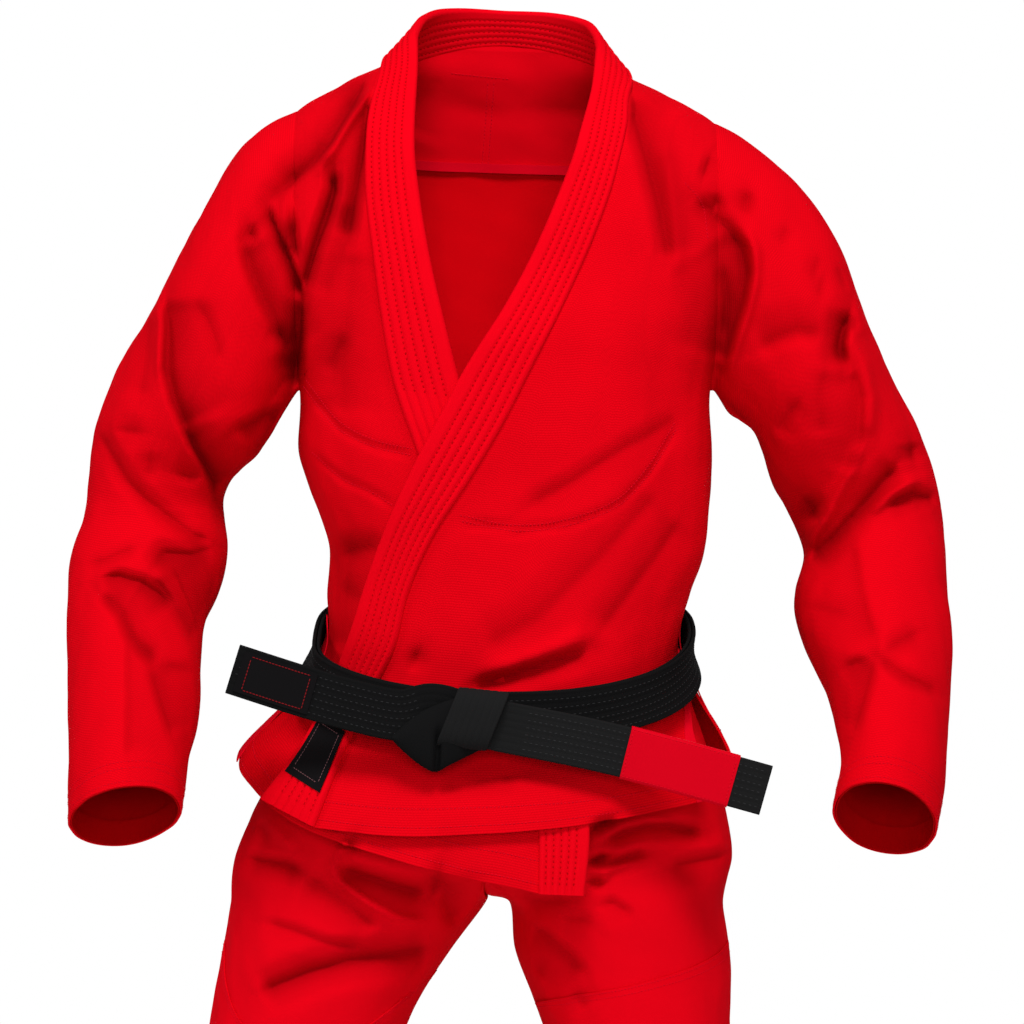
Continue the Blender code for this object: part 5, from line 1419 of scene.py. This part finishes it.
def sew(name, rows, radius, pitch, stitch_share):
    """Stitches along rows of points, each row with the directions away from the cloth."""
    starts = []
    ends = []
    ups = []
    for points, normals in rows:
        reached = np.append(0, np.cumsum(np.linalg.norm(np.diff(points, axis=0), axis=1)))
        first = np.arange(0.2 * pitch, reached[-1] - pitch, pitch)
        last = first + stitch_share * pitch
        starts.append(np.column_stack([np.interp(first, reached, column) for column in points.T]))
        ends.append(np.column_stack([np.interp(last, reached, column) for column in points.T]))
        ups.append(np.column_stack([np.interp(first, reached, column) for column in normals.T]))
    starts = np.concatenate(starts)
    ends = np.concatenate(ends)
    ahead = unit(ends - starts)
    beside = unit(np.cross(ahead, np.concatenate(ups)))
    above = np.cross(beside, ahead)
    steps = len(STITCH_STEPS)
    rings = steps * len(starts)
    maker = bmesh.new()
    bmesh.ops.create_grid(maker, x_segments=STITCH_SIDES, y_segments=rings - 1, size=0.5)
    mesh = bpy.data.meshes.new(name)
    maker.to_mesh(mesh)
    shares = read(mesh.vertices, "co", 3)[:, :2] + 0.5
    angle = -2 * np.pi * shares[:, 0]
    ring = np.rint(shares[:, 1] * (rings - 1)).astype(int)
    stitch = ring // steps
    girth = radius * STITCH_GIRTH[ring % steps][:, None]
    spots = mix(starts[stitch], ends[stitch], STITCH_STEPS[ring % steps][:, None])
    spots += girth * (np.cos(angle)[:, None] * beside[stitch] + np.sin(angle)[:, None] * above[stitch])
    mesh.vertices.foreach_set("co", spots.ravel())
    maker.clear()
    maker.from_mesh(mesh)
    between = [face for face in maker.faces if len({stitch[corner.index] for corner in face.verts}) > 1]
    bmesh.ops.delete(maker, geom=between, context="FACES")
    bmesh.ops.remove_doubles(maker, verts=maker.verts[:], dist=STITCH_WELD)
    for face in maker.faces:
        face.smooth = True
    maker.to_mesh(mesh)
    maker.free()
    piece = bpy.data.objects.new(name, mesh)
    bpy.context.collection.objects.link(piece)
    return piece


def cloth_tree(name):
    """A piece's surface, to be looked up along lines of sight."""
    mesh = bpy.data.objects[name].data
    corners = [vertex.co.copy() for vertex in mesh.vertices]
    return BVHTree.FromPolygons(corners, [list(face.vertices) for face in mesh.polygons])


def trace(tree, pixels, lift):
    """A row along the cloth seen behind a line of pixels, lifted towards the camera."""
    line = np.array(pixels, float)
    reached = np.append(0, np.cumsum(np.hypot(*np.diff(line, axis=0).T)))
    count = max(int(reached[-1] / 2), 4)
    shares = [index / reached[-1] for index in np.linspace(0, reached[-1], count)]
    smooth = np.column_stack(curve(np.column_stack([reached / reached[-1], line]), shares))
    points = []
    normals = []
    for x, y in smooth:
        scale = VIEW_WIDTH / FRAME_PIXELS / -CAMERA_PLACE[1]
        way = Vector(((x - FRAME_PIXELS / 2) * scale, 1.0, (FRAME_PIXELS / 2 - y) * scale)).normalized()
        spot, normal, _, _ = tree.ray_cast(Vector(CAMERA_PLACE), way)
        if spot is None:
            continue
        if normal.dot(way) > 0:
            normal = -normal
        points.append(spot + lift * normal)
        normals.append(normal)
    return np.array(points), np.array(normals)


# Materials


class Shade:
    """A socket in a material's nodes, so that shader maths reads as expressions."""

    def __init__(self, tree, socket=None):
        self.tree = tree
        self.socket = socket

    def node(self, kind, inputs, output=0, **settings):
        made = self.tree.nodes.new(kind)
        for name, value in settings.items():
            setattr(made, name, value)
        for name, value in inputs.items():
            if isinstance(value, Shade):
                self.tree.links.new(value.socket, made.inputs[name])
            else:
                made.inputs[name].default_value = value
        return Shade(self.tree, made.outputs[output])

    def maths(self, operation, first, second=0.0):
        return self.node("ShaderNodeMath", {0: first, 1: second}, operation=operation)

    def __add__(self, other):
        return self.maths("ADD", self, other)

    def __radd__(self, other):
        return self.maths("ADD", other, self)

    def __sub__(self, other):
        return self.maths("SUBTRACT", self, other)

    def __mul__(self, other):
        return self.maths("MULTIPLY", self, other)

    def __rmul__(self, other):
        return self.maths("MULTIPLY", other, self)

    def __truediv__(self, other):
        return self.maths("DIVIDE", self, other)

    def floor(self):
        return self.maths("FLOOR", self)

    def share(self):
        return self.maths("FRACT", self)

    def sine(self):
        return self.maths("SINE", self)


def new_material(name):
    material = bpy.data.materials.new(name)
    material.use_nodes = True
    return material, Shade(material.node_tree), material.node_tree.nodes["Principled BSDF"]


def cloth_coordinates(tree):
    """Metres along and up the cloth."""
    place = tree.node("ShaderNodeTexCoord", {}, output="UV")
    axes = [tree.node("ShaderNodeSeparateXYZ", {"Vector": place}, output=axis) for axis in ("X", "Y")]
    return axes, place


def noise(tree, place, scale, detail):
    inputs = {"Vector": place, "Scale": scale, "Detail": detail}
    return tree.node("ShaderNodeTexNoise", inputs, output="Fac")


def tint(tree, shader, level, colour, dark_share):
    """Colours a material from a share of its colour at level 0 to all of it at 1."""
    dark = tuple(channel * dark_share for channel in colour)
    inputs = {"Factor": level, "A": (*dark, 1.0), "B": (*colour, 1.0)}
    mixed = tree.node("ShaderNodeMix", inputs, output=2, data_type="RGBA")
    tree.tree.links.new(mixed.socket, shader.inputs["Base Color"])


def cloth_material(name, colour, weave, roughness, depth):
    """Cloth whose weave is a height from 0 to 1: low places are darker, large soft patches vary, and
    painted shade darkens its creases.
    """
    material, tree, shader = new_material(name)
    (across, up), place = cloth_coordinates(tree)
    height = weave(across, up)
    patches = noise(tree, place, PATCH_SCALE, 3.0)
    fuzz = noise(tree, place, FUZZ_SCALE, 2.0)
    # Painted shade: the colour darkens in the creases
    painted_crease_shade = tree.node("ShaderNodeAttribute", {}, output="Fac", attribute_name="painted_crease_shade")
    level = WEAVE_SHADE + (1 - WEAVE_SHADE) * height + UNEVEN_SHADE * (patches - 0.5)
    level = level + UNEVEN_SHADE * (fuzz - 0.5) - CREASE_SHADE * painted_crease_shade
    tint(tree, shader, level, colour, CLOTH_DARK)
    bump = {"Strength": WEAVE_BUMP, "Distance": depth, "Height": height + 0.3 * fuzz}
    relief = tree.node("ShaderNodeBump", bump)
    tree.tree.links.new(relief.socket, shader.inputs["Normal"])
    shader.inputs["Roughness"].default_value = roughness
    shader.inputs["Specular IOR Level"].default_value = CLOTH_SHINE
    return material


def thread_material(name, colour):
    """Twisted thread, a little uneven in colour."""
    material, tree, shader = new_material(name)
    place = tree.node("ShaderNodeTexCoord", {}, output="Object")
    tint(tree, shader, noise(tree, place, THREAD_FUZZ_SCALE, 2.0), colour, THREAD_DARK)
    shader.inputs["Roughness"].default_value = THREAD_ROUGHNESS
    shader.inputs["Specular IOR Level"].default_value = THREAD_SHINE
    return material


def ribs(place, pitch):
    """Round ribs, from 0 between them to 1 on top."""
    return ((place / pitch).share() * math.pi).sine()


def pearl_weave(across, up):
    """Staggered rice-shaped bumps in rows."""
    row = up / PEARL_ROW
    column = across / PEARL_LENGTH + 0.5 * (row.floor() * 0.5).share() * 2
    return (row.share() * math.pi).sine() * (0.45 + 0.55 * (column.share() * math.pi).sine())


def twill_weave(across, up):
    """Fine slanting ribs."""
    return 0.35 + 0.65 * ribs(across + up, TWILL_PITCH)


def belt_weave(across, up):
    return 0.4 + 0.6 * ribs(across + 0.5 * up, BELT_PITCH)


def satin_weave(across, up):
    return 0.6 + 0.4 * ribs(across, SATIN_PITCH)


# The uniform's pieces


def make_materials():
    # Colour, weave, roughness, depth of the weave's relief
    cloths = {
        "red_weave": (RED_WEAVE, pearl_weave, 0.85, 0.0004),
        "red_twill": (RED_TWILL, twill_weave, 0.85, 0.0002),
        "back_inside": (BACK_INSIDE, twill_weave, 0.85, 0.0002),
        "sleeve_inside_painted_shade": (SLEEVE_INSIDE_SHADE, twill_weave, 0.85, 0.0002),
        "red_tape": (RED_TAPE, twill_weave, 0.85, 0.0002),
        "red_bar": (RED_BAR, satin_weave, 0.45, 0.0001),
        "black_cotton": (BLACK_COTTON, belt_weave, 0.85, 0.0003),
        "black_cotton_painted_light": (PAINTED_LIGHT_COTTON, belt_weave, 0.85, 0.0003),
        "dark_label": (DARK_LABEL, satin_weave, 0.55, 0.0001),
    }
    threads = {
        "label_thread": LABEL_THREAD,
        "label_red_thread": LABEL_RED_THREAD,
        "red_thread": RED_THREAD,
        "sunk_thread_painted_shade": HOLE_SHADE_THREAD,
        "black_thread": BLACK_THREAD,
    }
    looks = {name: cloth_material(name, *cloth) for name, cloth in cloths.items()}
    looks.update({name: thread_material(name, colour) for name, colour in threads.items()})
    return looks


def make_jacket(looks):
    weave = looks["red_weave"]
    twill = looks["red_twill"]

    def back(u, v):
        return back_panel(u, v, JACKET_CLOTH)

    def lining(u, v):
        return back_panel(mix(*YOKE_ACROSS, u), mix(*YOKE_SPAN, v), -LAID_GAP)

    def yoke_strip(u, v):
        return back_panel(mix(*STRIP_ACROSS, u), mix(*STRIP_SPAN, v), -STRIP_DEPTH)

    piece = lay_cloth("jacket_back_panel", 150, 200, back, JACKET_CLOTH, hold=all_folds)
    finish_piece(piece, weave, "red_weave", ["jacket_back"], "jacket", inside=looks["back_inside"])
    for (side, word), columns in zip(SIDES, (150, 120)):

        def front(u, v):
            return front_panel(u, v, JACKET_CLOTH, side)

        name = f"{word}_front_panel"
        piece = lay_cloth(name, columns, 240, front, JACKET_CLOTH, hold=folds_off_the_lapel)
        finish_piece(piece, weave, "red_weave", [f"{word}_front"], "jacket")
    piece = lay_cloth("yoke_lining_panel", 120, 90, lining, LINING_CLOTH, hold=all_folds)
    finish_piece(piece, twill, "red_twill", ["yoke_lining"], "jacket")
    piece = lay_cloth("yoke_edge_strip", 60, 60, yoke_strip, STRIP_CLOTH, -TO_THE_FRONT, all_folds)
    finish_piece(piece, looks["red_tape"], "red_twill", [], "jacket")
    piece = lay_cloth("collar_band", 120, 440, collar, hold=folds_under_the_flap, facing=TO_THE_FRONT)
    close_ends(piece)
    finish_piece(piece, twill, "red_twill", ["collar_cover", "collar_core"], "jacket")
    piece = lay_cloth("lapel_patch_plain", 24, 30, lapel_patch, PATCH_THICKNESS, TO_THE_FRONT)
    finish_piece(piece, looks["dark_label"], "dark_label", ["lapel_patch"], "jacket")
    for side, word in SIDES:
        make_vent_tapes(looks["red_tape"], side, word)
        make_sleeve(looks, side, word)


def make_vent_tapes(tape, side, word):
    offset = JACKET_CLOTH + TAPE_GAP + TAPE_THICKNESS

    def front(u, v):
        return front_panel(mix(1 - FRONT_TAPE_SHARE, 1, u), v * VENT_SHARE, offset, side)

    def back(u, v):
        return back_panel((0.5 - 0.5 * side) + side * BACK_TAPE_SHARE * u, v * VENT_SHARE, offset)

    for name, place in (("front", front), ("back", back)):
        strip = lay_cloth(f"{word}_{name}_vent_edge", 8, 60, place, TAPE_THICKNESS, hold=all_folds)
        finish_piece(strip, tape, "red_tape", [f"{word}_{name}_vent_tape"], "jacket")


def make_sleeve(looks, side, word):
    weave = looks["red_weave"]
    # Painted shade: the sleeves' inner walls and cuff facings take a darker red
    inside = looks["sleeve_inside_painted_shade"]
    upper_body = f"{word}_sleeve"
    lower_body = f"{word}_forearm"
    rows = LEFT_FOREARM if side > 0 else RIGHT_FOREARM
    tape_start = 1 - CUFF_TAPE_WIDTH / math.dist(rows[0][:3], rows[-1][:3])

    def upper(u, v):
        return sleeve_ring(360 * u - 90, mix(SLEEVE_TUCK, SLEEVE_SPLIT, v), side)

    def lower(u, v):
        return lower_sleeve(u, v, side)

    def cuff(u, v):
        return forearm_ring(360 * u - 90, mix(tape_start, 1, v), JACKET_CLOTH + LAID_GAP, side)

    bend = [(side * x, 0.0, SHOULDER_BEND_Z) for x in SHOULDER_BEND]
    piece = lay_cloth(f"{word}_sleeve_cap", 160, 140, upper, JACKET_CLOTH, hold=all_folds)
    finish_piece(piece, weave, "red_weave", [f"{word}_upper_sleeve"], "jacket", upper_body, *bend)
    nodes = [f"{word}_forearm_sleeve"]
    piece = lay_cloth(f"{word}_sleeve_lower", 160, 160, lower, JACKET_CLOTH, hold=all_folds)
    finish_piece(piece, weave, "red_weave", nodes, upper_body, lower_body, *ELBOW_BEND, inside)
    piece = lay_cloth(f"{word}_cuff_facing", 96, 10, cuff, TAPE_THICKNESS, hold=all_folds)
    finish_piece(piece, inside, "red_tape", [f"{word}_cuff_tape"], lower_body)


def make_belt(looks):
    cotton = looks["black_cotton"]
    for name, floor in (("inner", 0.0), ("outer", BELT_THICKNESS + SEAM_GAP)):
        ring = lay_cloth(f"belt_{name}_band", 96, 260, lambda u, v: belt_turn(u, v, floor))
        finish_piece(ring, cotton, "black_cotton", [f"belt_{name}_turn"], "jacket")
    # The loop takes the black cotton with painted light
    loop = lay_cloth("belt_knot_loop", 96, 90, knot_loop)
    finish_piece(loop, looks["black_cotton_painted_light"], "black_cotton", ["belt_knot"], "jacket")
    fold = lay_cloth("belt_knot_fold", 40, 60, knot_fold, BELT_THICKNESS, TO_THE_FRONT)
    finish_piece(fold, cotton, "black_cotton", [], "jacket")
    for side, word in SIDES:
        end = close_ends(lay_cloth(f"{word}_belt_tail", 96, 80, lambda u, v: belt_end(u, v, side)))
        # The left end takes the black cotton with painted light, the right one the plain black
        used = looks["black_cotton_painted_light"] if side > 0 else cotton
        nodes = [f"{word}_belt_end"]
        bend = [(x, 0.0, 0.0) for x in (LEFT_TAIL_BEND if side > 0 else RIGHT_TAIL_BEND)]
        finish_piece(end, used, "black_cotton", nodes, "jacket", f"{word}_tail", *bend)
    bar = lay_cloth("rank_bar_sleeve", 60, 40, rank_bar, PATCH_THICKNESS)
    finish_piece(bar, looks["red_bar"], "red_bar", ["rank_bar"], "left_tail")
    label = lay_cloth("belt_label_plain", 24, 40, belt_label, PATCH_THICKNESS, outward=TO_THE_FRONT)
    finish_piece(label, looks["dark_label"], "dark_label", ["belt_label"], "right_tail")


def thigh_patch(u, v, side):
    return knee_patch(u, v, side, THIGH_SPLIT_Z, 0.0)


def shin_patch(u, v, side):
    return knee_patch(u, v, side, PATCH_BOTTOM_Z, THIGH_SPLIT_Z)


def make_trousers(looks):
    twill = looks["red_twill"]
    band = lay_cloth("waistband_band", 160, 12, waistband, 2 * TROUSER_CLOTH)
    finish_piece(band, twill, "red_twill", ["trouser_waistband"], "jacket")
    for side, word in SIDES:
        hip = ("jacket", f"{word}_leg", *HIP_BEND)
        knee = (f"{word}_leg", f"{word}_lower_leg", *KNEE_BEND)
        hips = [f"{word}_hip_panel"]
        crotch = ["crotch_gusset"] if side > 0 else []
        legs = [f"{word}_thigh", f"{word}_shin"]
        patches = [f"{word}_thigh_patch", f"{word}_shin_patch"]
        inwards = -side * SIDEWAYS
        pieces = (
            ("trouser_top", 150, 150, seat, TROUSER_CLOTH, None, folds_off_the_seams, hips, hip),
            ("gusset", 40, 72, gusset, TROUSER_CLOTH, inwards, None, crotch, hip),
            ("thigh_patch_piece", 70, 40, thigh_patch, TAPE_THICKNESS, None, all_folds, [], hip),
            ("trouser_leg", 128, 170, lower_leg, TROUSER_CLOTH, None, all_folds, legs, knee),
            ("knee_patch_piece", 70, 110, shin_patch, TAPE_THICKNESS, None, all_folds, patches, knee),
        )
        for name, columns, rows, shape, thickness, outward, hold, nodes, bodies in pieces:

            def place(u, v):
                return shape(u, v, side)

            piece = lay_cloth(f"{word}_{name}", columns, rows, place, thickness, outward, hold)
            finish_piece(piece, twill, "red_twill", nodes, *bodies)

        def tape(u, v):
            return hem_tape(u, v, side)

        piece = lay_cloth(f"{word}_hem_facing", 96, 10, tape, TAPE_THICKNESS, hold=all_folds)
        finish_piece(piece, looks["red_tape"], "red_tape", [f"{word}_hem_tape"], f"{word}_lower_leg")


# The uniform's stitches


def row_on_grid(name, share):
    """A row of points across a piece, at a share of the way up its grid."""
    grid, normals = GRIDS[name]
    at = round(share * (len(grid) - 1))
    return grid[at] + ROW_LIFT * normals[at], normals[at]


def border_rows(name, inset):
    """Rows round a patch, a share of its size in from its edges."""
    grid, normals = GRIDS[name]
    tall, wide = (round(inset * (size - 1)) for size in grid.shape[:2])
    grid = (grid + BORDER_LIFT * normals)[tall:-tall, wide:-wide]
    normals = normals[tall:-tall, wide:-wide]
    ends = [(grid[at], normals[at]) for at in (0, -1)]
    return ends + [(grid[:, at], normals[:, at]) for at in (0, -1)]


def strap_row(path, low, high, across, rise):
    along = np.linspace(low, high, STRAP_ROW_POINTS)
    points = strap_place(path, along, across + 0 * along, rise + 0 * along)
    return points, np.broadcast_to(TO_THE_FRONT, points.shape)


def belt_row_heights():
    return [(index / BELT_ROWS - 0.5) * BELT_WIDTH for index in range(1, BELT_ROWS)]


def runs(keep):
    """The unbroken stretches that are kept."""
    edges = np.flatnonzero(np.diff(np.concatenate([[0], keep.astype(int), [0]])))
    return [slice(first, last) for first, last in edges.reshape(-1, 2)]


def collar_rows():
    """Rows sunk in the collar's outer face, and in its inner face behind the neck."""
    along = np.linspace(*COLLAR_ROW_SPAN, COLLAR_ROW_POINTS)
    sunk = COLLAR_ROW_DEPTH * COLLAR_THREAD_SINK
    shown = runs(folds_under_the_flap(along, along) < 0.01)
    behind = runs(abs(along - 0.5) < NECK_ROW_REACH)
    rows = []
    for share in COLLAR_ROWS_AT:
        inner = collar_place(share + 0 * along, along, 0 * along)
        outer = collar_place(share + 0 * along, along, COLLAR_THICKNESS + 0 * along)
        up = unit(outer - inner)
        rows += [(outer[run] - sunk * up[run], up[run]) for run in shown]
        rows += [(inner[run] + 0.5 * sunk * up[run], -up[run]) for run in behind]
    return rows


def belt_turn_rows():
    angle = 360 * np.linspace(0, 1, BELT_ROW_POINTS) - 180
    offset = belt_seat(angle) + 2 * BELT_THICKNESS + SEAM_GAP - 0.5 * BELT_ROW_DEPTH
    rows = []
    for across in belt_row_heights():
        height = BELT_HEIGHT + across + 0 * angle
        points = torso(angle, height, offset)
        rows.append((points, unit(torso(angle, height, offset + 0.01) - points)))
    return rows


def rank_bar_rows():
    edge = BELT_WIDTH / 2 - BAR_ROW_MARGIN
    over = BELT_THICKNESS / 2 + LAID_GAP + PATCH_THICKNESS
    span = (RANK_BAR[0] + BAR_ROW_INSET, RANK_BAR[1] - BAR_ROW_INSET)
    rows = [strap_row(tail_path(1), *span, across, over) for across in (-edge, edge)]
    return rows + [row_on_grid("rank_bar_sleeve", share) for share in BAR_ENDS_AT]


def jacket_seam_rows():
    """The seams seen from the front, and the hems."""
    panels = ("left_front_panel", "right_front_panel", "jacket_back_panel")
    trees = {name: cloth_tree(name) for name in (*panels[:2], "yoke_lining_panel")}
    rows = []
    for name, seam, (x, y) in SEAM_ROWS:
        line = [(across + x, down + y) for across, down in seam]
        lift = ROW_LIFT if name in panels else LINING_CLOTH + ROW_LIFT
        rows.append(trace(trees[name], line, lift))
    return rows + [row_on_grid(name, share) for name in panels for share in JACKET_HEM_ROWS_AT]


def add_stitches(name, rows, material, slot, *bodies, word=None):
    """Sews rows that ride on a body; rows given two bodies to bend between are only left where they are.
    The word is the side, if there is one.
    """
    piece = sew(f"{word}_{name}" if word else name, rows, *STITCHES[name])
    finish_piece(piece, material, slot, [], *bodies)


def make_stitching(looks):
    thread = looks["red_thread"]
    black = looks["black_thread"]
    # The collar's rows take the darker thread, painted shade for their holes
    add_stitches("collar_rows", collar_rows(), looks["sunk_thread_painted_shade"], "red_twill", "jacket")
    add_stitches("belt_turn_rows", belt_turn_rows(), black, "black_cotton", "jacket")
    face = BELT_THICKNESS / 2 - 0.5 * BELT_ROW_DEPTH
    for side, word in SIDES:
        path = tail_from_knot(side)
        rows = [strap_row(path, *TAIL_ROW_SPAN, across, face) for across in belt_row_heights()]
        add_stitches("belt_end_rows", rows, black, "black_cotton", f"{word}_tail", word=word)
    add_stitches("rank_bar_rows", rank_bar_rows(), thread, "red_bar", "left_tail")
    rows = border_rows("lapel_patch_plain", LAPEL_BORDER)
    add_stitches("lapel_patch_border", rows, looks["label_thread"], "dark_label", "jacket")
    rows = border_rows("belt_label_plain", LABEL_BORDER)
    add_stitches("belt_label_border", rows, looks["label_red_thread"], "dark_label", "right_tail")
    add_stitches("jacket_seam_rows", jacket_seam_rows(), thread, "red_weave", "jacket")
    for _, word in SIDES:
        rows = [row_on_grid(f"{word}_sleeve_lower", share) for share in CUFF_ROWS_AT]
        add_stitches("cuff_rows", rows, thread, "red_weave", f"{word}_forearm", word=word)
        rows = [row_on_grid(f"{word}_trouser_leg", share) for share in LEG_HEM_ROWS_AT]
        add_stitches("hem_rows", rows, thread, "red_twill", f"{word}_lower_leg", word=word)
        rows = [row_on_grid(f"{word}_thigh_patch_piece", share) for share in PATCH_ROWS_AT]
        add_stitches("patch_rows", rows, thread, "red_twill", "jacket", f"{word}_leg", *HIP_BEND, word=word)


# Stage


def set_stage():
    data = bpy.data.cameras.new("photo_camera")
    data.sensor_width = SENSOR_WIDTH
    data.lens = SENSOR_WIDTH * -CAMERA_PLACE[1] / VIEW_WIDTH
    camera = bpy.data.objects.new("photo_camera", data)
    camera.location = CAMERA_PLACE
    camera.rotation_euler = (math.radians(90), 0, 0)
    bpy.context.collection.objects.link(camera)
    bpy.context.scene.camera = camera
    bpy.context.scene.view_settings.view_transform = "Standard"

    maker = bmesh.new()
    bmesh.ops.create_grid(maker, x_segments=1, y_segments=1, size=FLOOR_SIZE)
    bmesh.ops.translate(maker, verts=maker.verts[:], vec=(0, 0, FLOOR_Z))
    mesh = bpy.data.meshes.new("floor")
    maker.to_mesh(mesh)
    maker.free()
    floor = bpy.data.objects.new("floor", mesh)
    bpy.context.collection.objects.link(floor)
    material, _, shader = new_material("pale_floor")
    shader.inputs["Base Color"].default_value = FLOOR_COLOUR
    shader.inputs["Roughness"].default_value = FLOOR_ROUGHNESS
    mesh.materials.append(material)
    floor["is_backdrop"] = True

    world = bpy.data.worlds.new("studio")
    bpy.context.scene.world = world
    world.use_nodes = True
    tree = Shade(world.node_tree)
    path = world.node_tree.nodes.new("ShaderNodeLightPath")
    rays = ("Is Camera Ray", "Is Glossy Ray", "Is Transmission Ray")
    seen = [Shade(world.node_tree, path.outputs[name]) for name in rays]
    shown = tree.maths("MINIMUM", seen[0] + seen[1] + seen[2], 1.0)
    strength = AMBIENT + (1 - AMBIENT) * shown
    background = world.node_tree.nodes["Background"]
    background.inputs["Color"].default_value = (1.0, 1.0, 1.0, 1.0)
    world.node_tree.links.new(strength.socket, background.inputs["Strength"])

    for name, place, size, power in LIGHTS:
        light = bpy.data.lights.new(name, "AREA")
        light.energy = power
        light.size = size
        lamp = bpy.data.objects.new(name, light)
        lamp.location = place
        aim = Vector(LIGHT_AIM) - Vector(place)
        lamp.rotation_euler = aim.to_track_quat("-Z", "Y").to_euler()
        bpy.context.collection.objects.link(lamp)


def corners(box):
    return [[float(value) for value in corner] for corner in box]


def main():
    for leftover in list(bpy.data.objects):
        bpy.data.objects.remove(leftover)
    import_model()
    cad_box = corners(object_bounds())
    looks = make_materials()
    make_jacket(looks)
    make_belt(looks)
    make_trousers(looks)
    make_stitching(looks)
    set_stage()
    {"cad": cad_box, "visual": corners(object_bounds())}


main()
